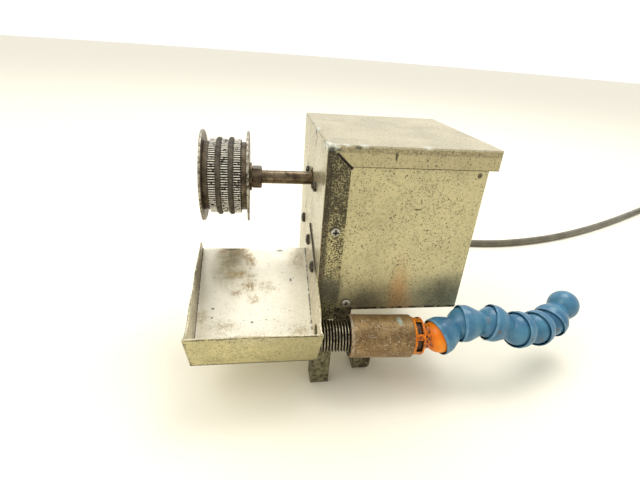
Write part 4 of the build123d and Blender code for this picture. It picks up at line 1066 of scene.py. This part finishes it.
def drum():
    """Three ribbed rings, the rubber spacers between them and two discs at each end."""
    for k, chipped in enumerate((0.12, 0.38, 0.22)):
        toothed_ring(f"ribbed_ring_{k + 1}", 11 + k, chipped)
    for k in (1, 2):
        def swell(s, r, angle, k=k):
            return s, r + (0.12 * sin(3 * angle + k) + 0.07 * sin(7 * angle + 2 * k) if r > 20 else 0)
        turned_part(f"spacer_ring_{k}", collar_corners(27.2, 3.4, 1.5), 60, swell)
    flat, rim, thick = 26.2, 31.85, 1.6
    for side, turn in (("inner", 0.4), ("outer", 2.1)):
        def buckle(s, r, angle, turn=turn):
            if r < 26:
                return s, r
            far = (r - 26) / 6
            sway = 0.22 * sin(2 * angle + turn) + 0.08 * sin(5 * angle + turn)
            return s + sway * far, r + 0.12 * sin(3 * angle)
        turned_part(f"{side}_cheek_disc", [
            (0, RING_BORE, 0), (0, flat, 0), (0, rim, 0.6), (thick, rim, 0.6), (thick, flat, 0),
            (thick, RING_BORE, 0),
        ], 40, buckle)
        turned_part(f"{side}_backing_disc", collar_corners(24, 4, 0.5))


def spindle():
    """The shaft, its washer, and the CAD nut and end screw with softened edges."""
    length = (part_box("spindle_shaft")[1].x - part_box("spindle_shaft")[0].x) / MM
    shaft_r, tap_r, tap_end, groove_r = 4.7625, 3.05, 14.0, 4.5125
    turned_part("spindle_shaft", [
        (0, tap_r, 0), (0, shaft_r, 0.3), (38.5, shaft_r, 0.2), (38.8, groove_r, 0.1),
        (39.6, groove_r, 0.1), (39.9, shaft_r, 0.2), (length, shaft_r, 0.7), (length, 0.02, 0),
        (tap_end + 0.2, 0.02, 0), (tap_end, tap_r, 0),
    ], 40)
    turned_part("spindle_washer", [(0, 4.85, 0), (0, 10, 0.35), (1.7, 10, 0.35), (1.7, 4.85, 0.2)])
    keep_cad("spindle_nut", paints["spindle_steel"], 0.25)
    keep_cad("end_screw", paints["spindle_steel"], 0.2)


# ---------------------------------------------------------------- pipe, coupling and hose
def nipple():
    """A pipe nipple with a real helical thread, cut flat against the tray's wall."""
    pitch, depth, outer = 1.98, 1.15, 10.65
    crest, flank = 0.16, 0.72      # parts of the pitch, doubled
    start, end = -1.2, 34.5
    around = 84
    rows = int(end / pitch * 9)
    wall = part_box("top_left_cover")[0].x
    turn = axis_frame(PIPE_AT, PIPE_DIR)
    rings = [(start, "root")] + [(end * k / rows, "thread") for k in range(rows + 1)]
    rings += [(end, "bore"), (start, "bore")]
    points = []
    for s, kind in rings:
        for k in range(around):
            angle = 2 * pi * k / around
            phase = (s / pitch - angle / (2 * pi)) % 1.0
            slope = min(1.0, max(0.0, (abs(phase - 0.5) * 2 - crest) / flank))
            radius = {"thread": outer - depth * slope, "root": outer - depth, "bore": PIPE_BORE}[kind]
            spot = turn @ Vector((s * MM, radius * MM * cos(angle), radius * MM * sin(angle)))
            if spot.x < wall:
                spot += PIPE_DIR * ((wall - spot.x) / PIPE_DIR.x)
            points.append(spot)
    mesh = mesh_of("pipe_nipple_thread", points, ring_faces(len(rings), around))
    dress("pipe_nipple_thread", mesh, "pipe_nipple", 60)


def coupling():
    """The forged pipe coupling, tapped at both ends."""
    start, end, outer, tap, depth = 20.5, 63.2, 14.3, 10.7, 19.0
    chamfer = 1.2

    def forged(s, r, angle):
        return s, r + (0.05 * sin(4 * angle + s / 6) + 0.04 * sin(9 * angle - s / 3) if r > 13.4 else 0)

    corners = [(start, tap + 0.9, 0.2), (start, outer - 0.3, 0.9), (start + chamfer, outer, 0.6)]
    corners += [(start + chamfer + k * 5.0, outer, 0) for k in range(1, 9)]
    corners += [(end - chamfer, outer, 0.6), (end, outer - 0.3, 0.9), (end, tap + 0.9, 0.2)]
    corners += [(end - 1, tap, 0), (end - depth, tap, 0), (end - depth - 1, tap - 1.6, 0)]
    corners += [(start + depth + 1, tap - 1.6, 0), (start + depth, tap, 0), (start + 1, tap, 0)]
    mesh = lathe("pipe_coupling_turned", rounded(corners, 5), PIPE_AT, PIPE_DIR, 112, forged)
    dress("pipe_coupling_turned", mesh, "pipe_coupling", 40)


def ball(centre):
    """The ball's outline, from its cut end back to its neck."""
    start = degrees(acos(BALL_CUT / BALL_R))
    end = 180 - degrees(asin(NECK_R / BALL_R))
    return arc((centre, 0), BALL_R, start, end, 18)


def hose_links():
    """Six links, each a socket, a neck and a ball, turned about its own heading."""
    throat = degrees(asin(BORE_R / SOCKET_IN))
    rim = 180 - degrees(acos(1.5 / SOCKET_IN))
    for k in range(6):
        outline = [(-3.2, 12.35), (-2.9, 12.15)] + arc((0, 0), SOCKET_IN, rim, throat, 12)
        outline += [(LINK_PITCH + BALL_CUT - 0.5, BORE_R), (LINK_PITCH + BALL_CUT, BORE_R + 0.4)]
        outline += ball(LINK_PITCH)
        outline += rounded([
            (12.9, NECK_R, 0), (11.9, NECK_R + 0.25, 0.9), (7.9, 10.55, 0), (3.2, 12.75, 1.5),
            (0.6, 13.0, 1.2), (-1.7, 12.75, 0.4), (-1.9, 12.95, 0.15), (-3.0, 12.85, 0.25),
        ])
        mesh = lathe(f"hose_link_{k + 1}_shell", outline, HOSE_AT[k], HOSE_AT[k + 1] - HOSE_AT[k], 96)
        dress(f"hose_link_{k + 1}_shell", mesh, f"hose_link_{k + 1}", 34)


def connector():
    """The orange connector: a threaded stub, a collar with six wide pockets, a neck and a ball."""
    collar_r, stub_end = 12.7, 47.2
    outline = rounded([
        (COLLAR_END, NECK_R + 0.6, 0.6), (COLLAR_END, collar_r, 0.5), (COLLAR + 3.5, collar_r, 0),
        (COLLAR, collar_r, 0.5), (COLLAR, 10.45, 0), (stub_end + 1, 10.15, 0), (stub_end, 9.25, 0.2),
        (stub_end, BORE_R, 0),
    ])
    outline += [(BALL_S + BALL_CUT - 0.5, BORE_R), (BALL_S + BALL_CUT, BORE_R + 0.4)] + ball(BALL_S)
    mesh = lathe("hose_connector_shell", outline, PIPE_AT, PIPE_DIR, 112)
    turn = axis_frame(PIPE_AT, PIPE_DIR)
    half_width = 4.4
    for k in range(6):
        pocket = block(
            Vector((POCKET, POCKET_FLOOR, -half_width)) * MM, Vector((POCKET_END, 16, half_width)) * MM,
        )
        pocket.transform(turn @ Matrix.Rotation(radians(POCKET_TURN + 60 * k), 4, "X"))
        mesh = carved("hose_connector_shell", mesh, pocket)
    dress("hose_connector_shell", mesh, "hose_connector", 34)


# ---------------------------------------------------------------- screws
HEAD_HEIGHT = 2.3


def pan_head(head_r, height, shank_r, length):
    """A domed pan head with a cross recess and its shank, standing along +X from the origin."""
    outline = [(-length, 0.001), (-length, shank_r * 0.8), (-length + 0.6, shank_r), (0, shank_r)]
    outline.append((0, head_r - 0.15))
    for rise, share in ((0.25, 1.0), (0.6, 0.95), (0.85, 0.78), (0.97, 0.5), (1.0, 0.2)):
        outline.append((rise * height, share * head_r))
    outline.append((height, 0.001))
    body = lathe("screw", outline, Vector((0, 0, 0)), X_AXIS, 40)
    for wide, tall in ((0.60 * head_r, 0.20 * head_r), (0.20 * head_r, 0.60 * head_r)):
        bar = block(Vector((height - 1.25, -wide, -tall)) * MM, Vector((height + 1, wide, tall)) * MM)
        body = carved("screw", body, bar)
    return body


def screws(node, head_r, shank_r, towards=None):
    """Domed screws for every solid of a CAD node; without a direction they point out of the cover."""
    cover_low, cover_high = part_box("top_left_cover")
    meshes = []
    dice = random.Random(len(node))
    for low, high in solids_of(node):
        seat = (low + high) / 2
        at_front = seat.y < (cover_low.y + cover_high.y) / 2
        direction = Vector(towards or (0, -1 if at_front else 1, 0))
        axis = max(range(3), key=lambda k: abs(direction[k]))
        span = (high[axis] - low[axis]) / MM
        head_end = (high if direction[axis] > 0 else low)[axis]
        seat[axis] = head_end - direction[axis] * HEAD_HEIGHT * MM
        mesh = pan_head(head_r, HEAD_HEIGHT, shank_r, span - HEAD_HEIGHT)
        turn = dice.uniform(0, pi) if direction.y >= 0 else 0.0
        mesh.transform(axis_frame(seat, direction) @ Matrix.Rotation(turn, 4, "X"))
        meshes.append(mesh)
    dress(node + "_heads", joined(node + "_heads", meshes), node, 38)


def all_screws():
    """Head and shank radii of each kind, and the way its heads point."""
    screws("cover_screws", 3.3, 1.75)
    screws("panel_screws", 3.3, 1.75)
    screws("tray_screws", 4.2, 1.75, (-1, 0, 0))
    screws("motor_screws", 3.4, 2.0, (-1, 0, 0))
    screws("leg_screws", 3.8, 2.0, (0, 0, 1))
    screws("ground_screw", 3.8, 2.0, (0, 0, 1))


# ---------------------------------------------------------------- the catch tray
def tray():
    """The tray from one folded sheet: uneven rims, a slight belly in its walls, a hole for the pipe."""
    across, deep, tall = TRAY_WIDE, TRAY_DEEP, TRAY_TALL
    nx, nl, nh = 30, 34, 12                    # cells across, from front to back, and up
    points, index, faces = [], {}, []

    def vert(x, l, h):
        key = (round(x, 3), round(l, 3), round(h, 3))
        if key not in index:
            index[key] = len(points)
            points.append([x, l, h])
        return index[key]

    def patch(grid):
        for a, b in zip(grid, grid[1:]):
            for i in range(len(a) - 1):
                faces.append((a[i], a[i + 1], b[i + 1], b[i]))

    def side(x, back):
        rows = []
        for i in range(nl + 1):
            l = deep * i / nl
            top = tall + (back - tall) * i / nl
            rows.append([vert(x, l, top * j / nh) for j in range(nh + 1)])
        return rows

    patch([[vert(across * i / nx, deep * j / nl, 0) for i in range(nx + 1)] for j in range(nl + 1)])
    patch([[vert(across * i / nx, 0, tall * j / nh) for i in range(nx + 1)] for j in range(nh + 1)])
    patch(side(0, LEFT_BACK))
    patch(side(across, RIGHT_BACK))

    def wavy(x, l, h):
        """Move a rim point up or down, and a wall point sideways, by fractions of a millimetre."""
        share = h / tall
        if l < 0.01:
            return x, l + 0.5 * share * sin(pi * x / across), h - 0.35 * share * (1 + sin(x / 9.0))
        if x < 0.01:
            belly = 0.55 * share * sin(l / 15) + 0.3 * share * sin(l / 5.5)
            return x + max(0.0, 0.5 * share + belly), l, h - 0.35 * share * (1 + sin(l / 6.0))
        if x > across - 0.01:
            free = max(0.0, min(1.0, (22 - l) / 12))
            return x - free * 0.5 * share * (1 + sin(l / 4)), l, h - 0.3 * share * (1 + sin(l / 7.0 + 1))
        return x, l, h + 0.22 * (1 + sin(x / 14.0) * sin(l / 17.0)) * min(1, x / 8, (across - x) / 8, l / 8)

    turn = Matrix.Translation(TRAY_CORNER) @ Matrix.Rotation(TRAY_TILT, 4, "X")
    moved = [turn @ (Vector(wavy(*p)) * MM) for p in points]
    mesh = mesh_of("catch_tray_sheet", moved, faces)
    work = bmesh.new()
    work.from_mesh(mesh)
    # faces look outwards, so that the sheet's thickness grows inwards
    inside = turn @ Vector((across / 2 * MM, deep / 2 * MM, 10 * MM))
    for face in work.faces:
        if face.normal.dot(inside - face.calc_center_median()) > 0:
            face.normal_flip()
    work.to_mesh(mesh)
    work.free()
    sheet = {"thickness": MM, "offset": -1.0, "use_even_offset": True}
    edges = {"width": 0.32 * MM, "segments": 2, "limit_method": "ANGLE", "angle_limit": radians(50)}
    mesh = settled("catch_tray_sheet", mesh, ("SOLIDIFY", sheet), ("BEVEL", edges))
    hole = lathe("hole", [(-8, 0.001), (-8, PIPE_BORE), (3, PIPE_BORE), (3, 0.001)], PIPE_AT, PIPE_DIR, 64)
    mesh = carved("catch_tray_sheet", mesh, hole)
    dress("catch_tray_sheet", mesh, "catch_tray", 30)


# ---------------------------------------------------------------- plug and strain relief
def rounded_section(half_w, half_h, power):
    """A superellipse: power 2 is an ellipse and larger ones are squarer."""
    ring = []
    for k in range(PLUG_SIDES):
        c, s = cos(2 * pi * k / PLUG_SIDES), sin(2 * pi * k / PLUG_SIDES)
        y = half_w * copysign(abs(c) ** (2 / power), c)
        ring.append((y, half_h * copysign(abs(s) ** (2 / power), s)))
    return ring


# the plug's body with its grip grooves: distance along it, half width, half height, squareness
PLUG_BODY = [
    (14.4, 9.0, 7.6, 2.4), (15.4, 10.2, 8.4, 3), (20, 10.6, 9.2, 3.4), (23, 10.4, 9.4, 3.6),
    (24, 10.0, 9.2, 3.6), (25, 10.7, 9.9, 3.6), (27, 10.9, 10.1, 3.6), (28, 10.4, 9.8, 3.6),
    (29, 11.1, 10.4, 3.6), (31, 11.4, 10.7, 3.8), (32, 10.9, 10.4, 3.8), (33, 11.7, 11.0, 3.8),
    (37, 12.3, 11.8, 4), (40.2, 12.5, 12.0, 4), (41, 12.0, 11.5, 4),
]


def plug():
    """A moulded plug: a ribbed sleeve that grows into a body with grip grooves and a flat face."""
    mount = mounts["mains_plug"]
    ahead = Vector(mount["axis"])
    turn = axis_frame(Vector(mount["pos_m"]) - ahead * PLUG_BODY[-1][0] * MM, ahead)
    sections = []
    for s in range(15):
        ridge = 0.44 if s % 3 == 1 else 0.0
        size = 4.6 + 1.7 * s / 14 + ridge
        sections.append((s, size, size, 2.0))
    sections += PLUG_BODY
    points = []
    for s, w, h, power in sections:
        points += [turn @ (Vector((s, y, z)) * MM) for y, z in rounded_section(w, h, power)]
    faces = ring_faces(len(sections), PLUG_SIDES, closed=False)
    faces.append(tuple(range(PLUG_SIDES)))
    faces.append(tuple(range(len(points) - PLUG_SIDES, len(points))))
    dress("plug_body", mesh_of("plug_body", points, faces), "plug", 40)
    keep_cad("plug_blades", paints["blade_brass"], 0.25)


def relief():
    """The moulded strain relief: a flange, then a tapered sleeve with ring grooves."""
    corners = [(0, 0.01, 0), (0, 8.4, 0.3), (3.0, 8.4, 0.3), (3.0, 6.4, 0), (4.8, 6.4, 0)]
    corners += [(4.8, 9.0, 0.4), (7.2, 9.0, 0.6)]
    for k in range(6):
        s = 9.0 + 4.2 * k
        size = 7.6 - 2.3 * (s - 9.0) / 26.0
        corners += [(s, size, 0.3), (s + 2.6, size - 0.25, 0.3)]
        corners += [(s + 2.9, size - 1.0, 0.15), (s + 3.8, size - 1.1, 0.15)]
    corners += [(34.6, 5.15, 0.2), (36.0, 5.0, 0.5), (36.0, 0.01, 0)]
    low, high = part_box("strain_relief")
    at = Vector(((low.x + high.x) / 2, low.y, (low.z + high.z) / 2))
    mesh = lathe("strain_relief_sleeve", rounded(corners, 3), at, Vector((0, 1, 0)), 64)
    dress("strain_relief_sleeve", mesh, "strain_relief", 35)


# ---------------------------------------------------------------- put it together
def kept_nodes():
    """CAD nodes that are shown as they are, each with the bevel in millimetres that softens its edges."""
    bevels = {
        "top_left_cover": 0.45, "wrapper_panel": 0.2, "bottom_plate": 0.2, "front_left_leg": 0.5,
        "front_middle_leg": 0.5, "rear_left_leg": 0.5, "rear_right_leg": 0.5, "stator_core": 0.2,
        "stator_winding": 1.2, "shading_rings": 0.4, "left_bearing_bracket": 0.5,
        "right_bearing_bracket": 0.5, "left_bearing_bush": 0.3, "right_bearing_bush": 0.3, "rotor": 0.3,
        "thrust_washers": 0.1, "motor_nuts": 0.3, "cord_tail": 0.2, "lead_wires": 0, "wire_nuts": 0.5,
        "ground_wire": 0,
    }
    for node, bevel in bevels.items():
        keep_cad(node, paints[slots[node]], bevel)


make_camera()
make_stage()
kept_nodes()
drum()
spindle()
nipple()
coupling()
connector()
hose_links()
all_screws()
tray()
relief()
plug()
cord = make_cord()
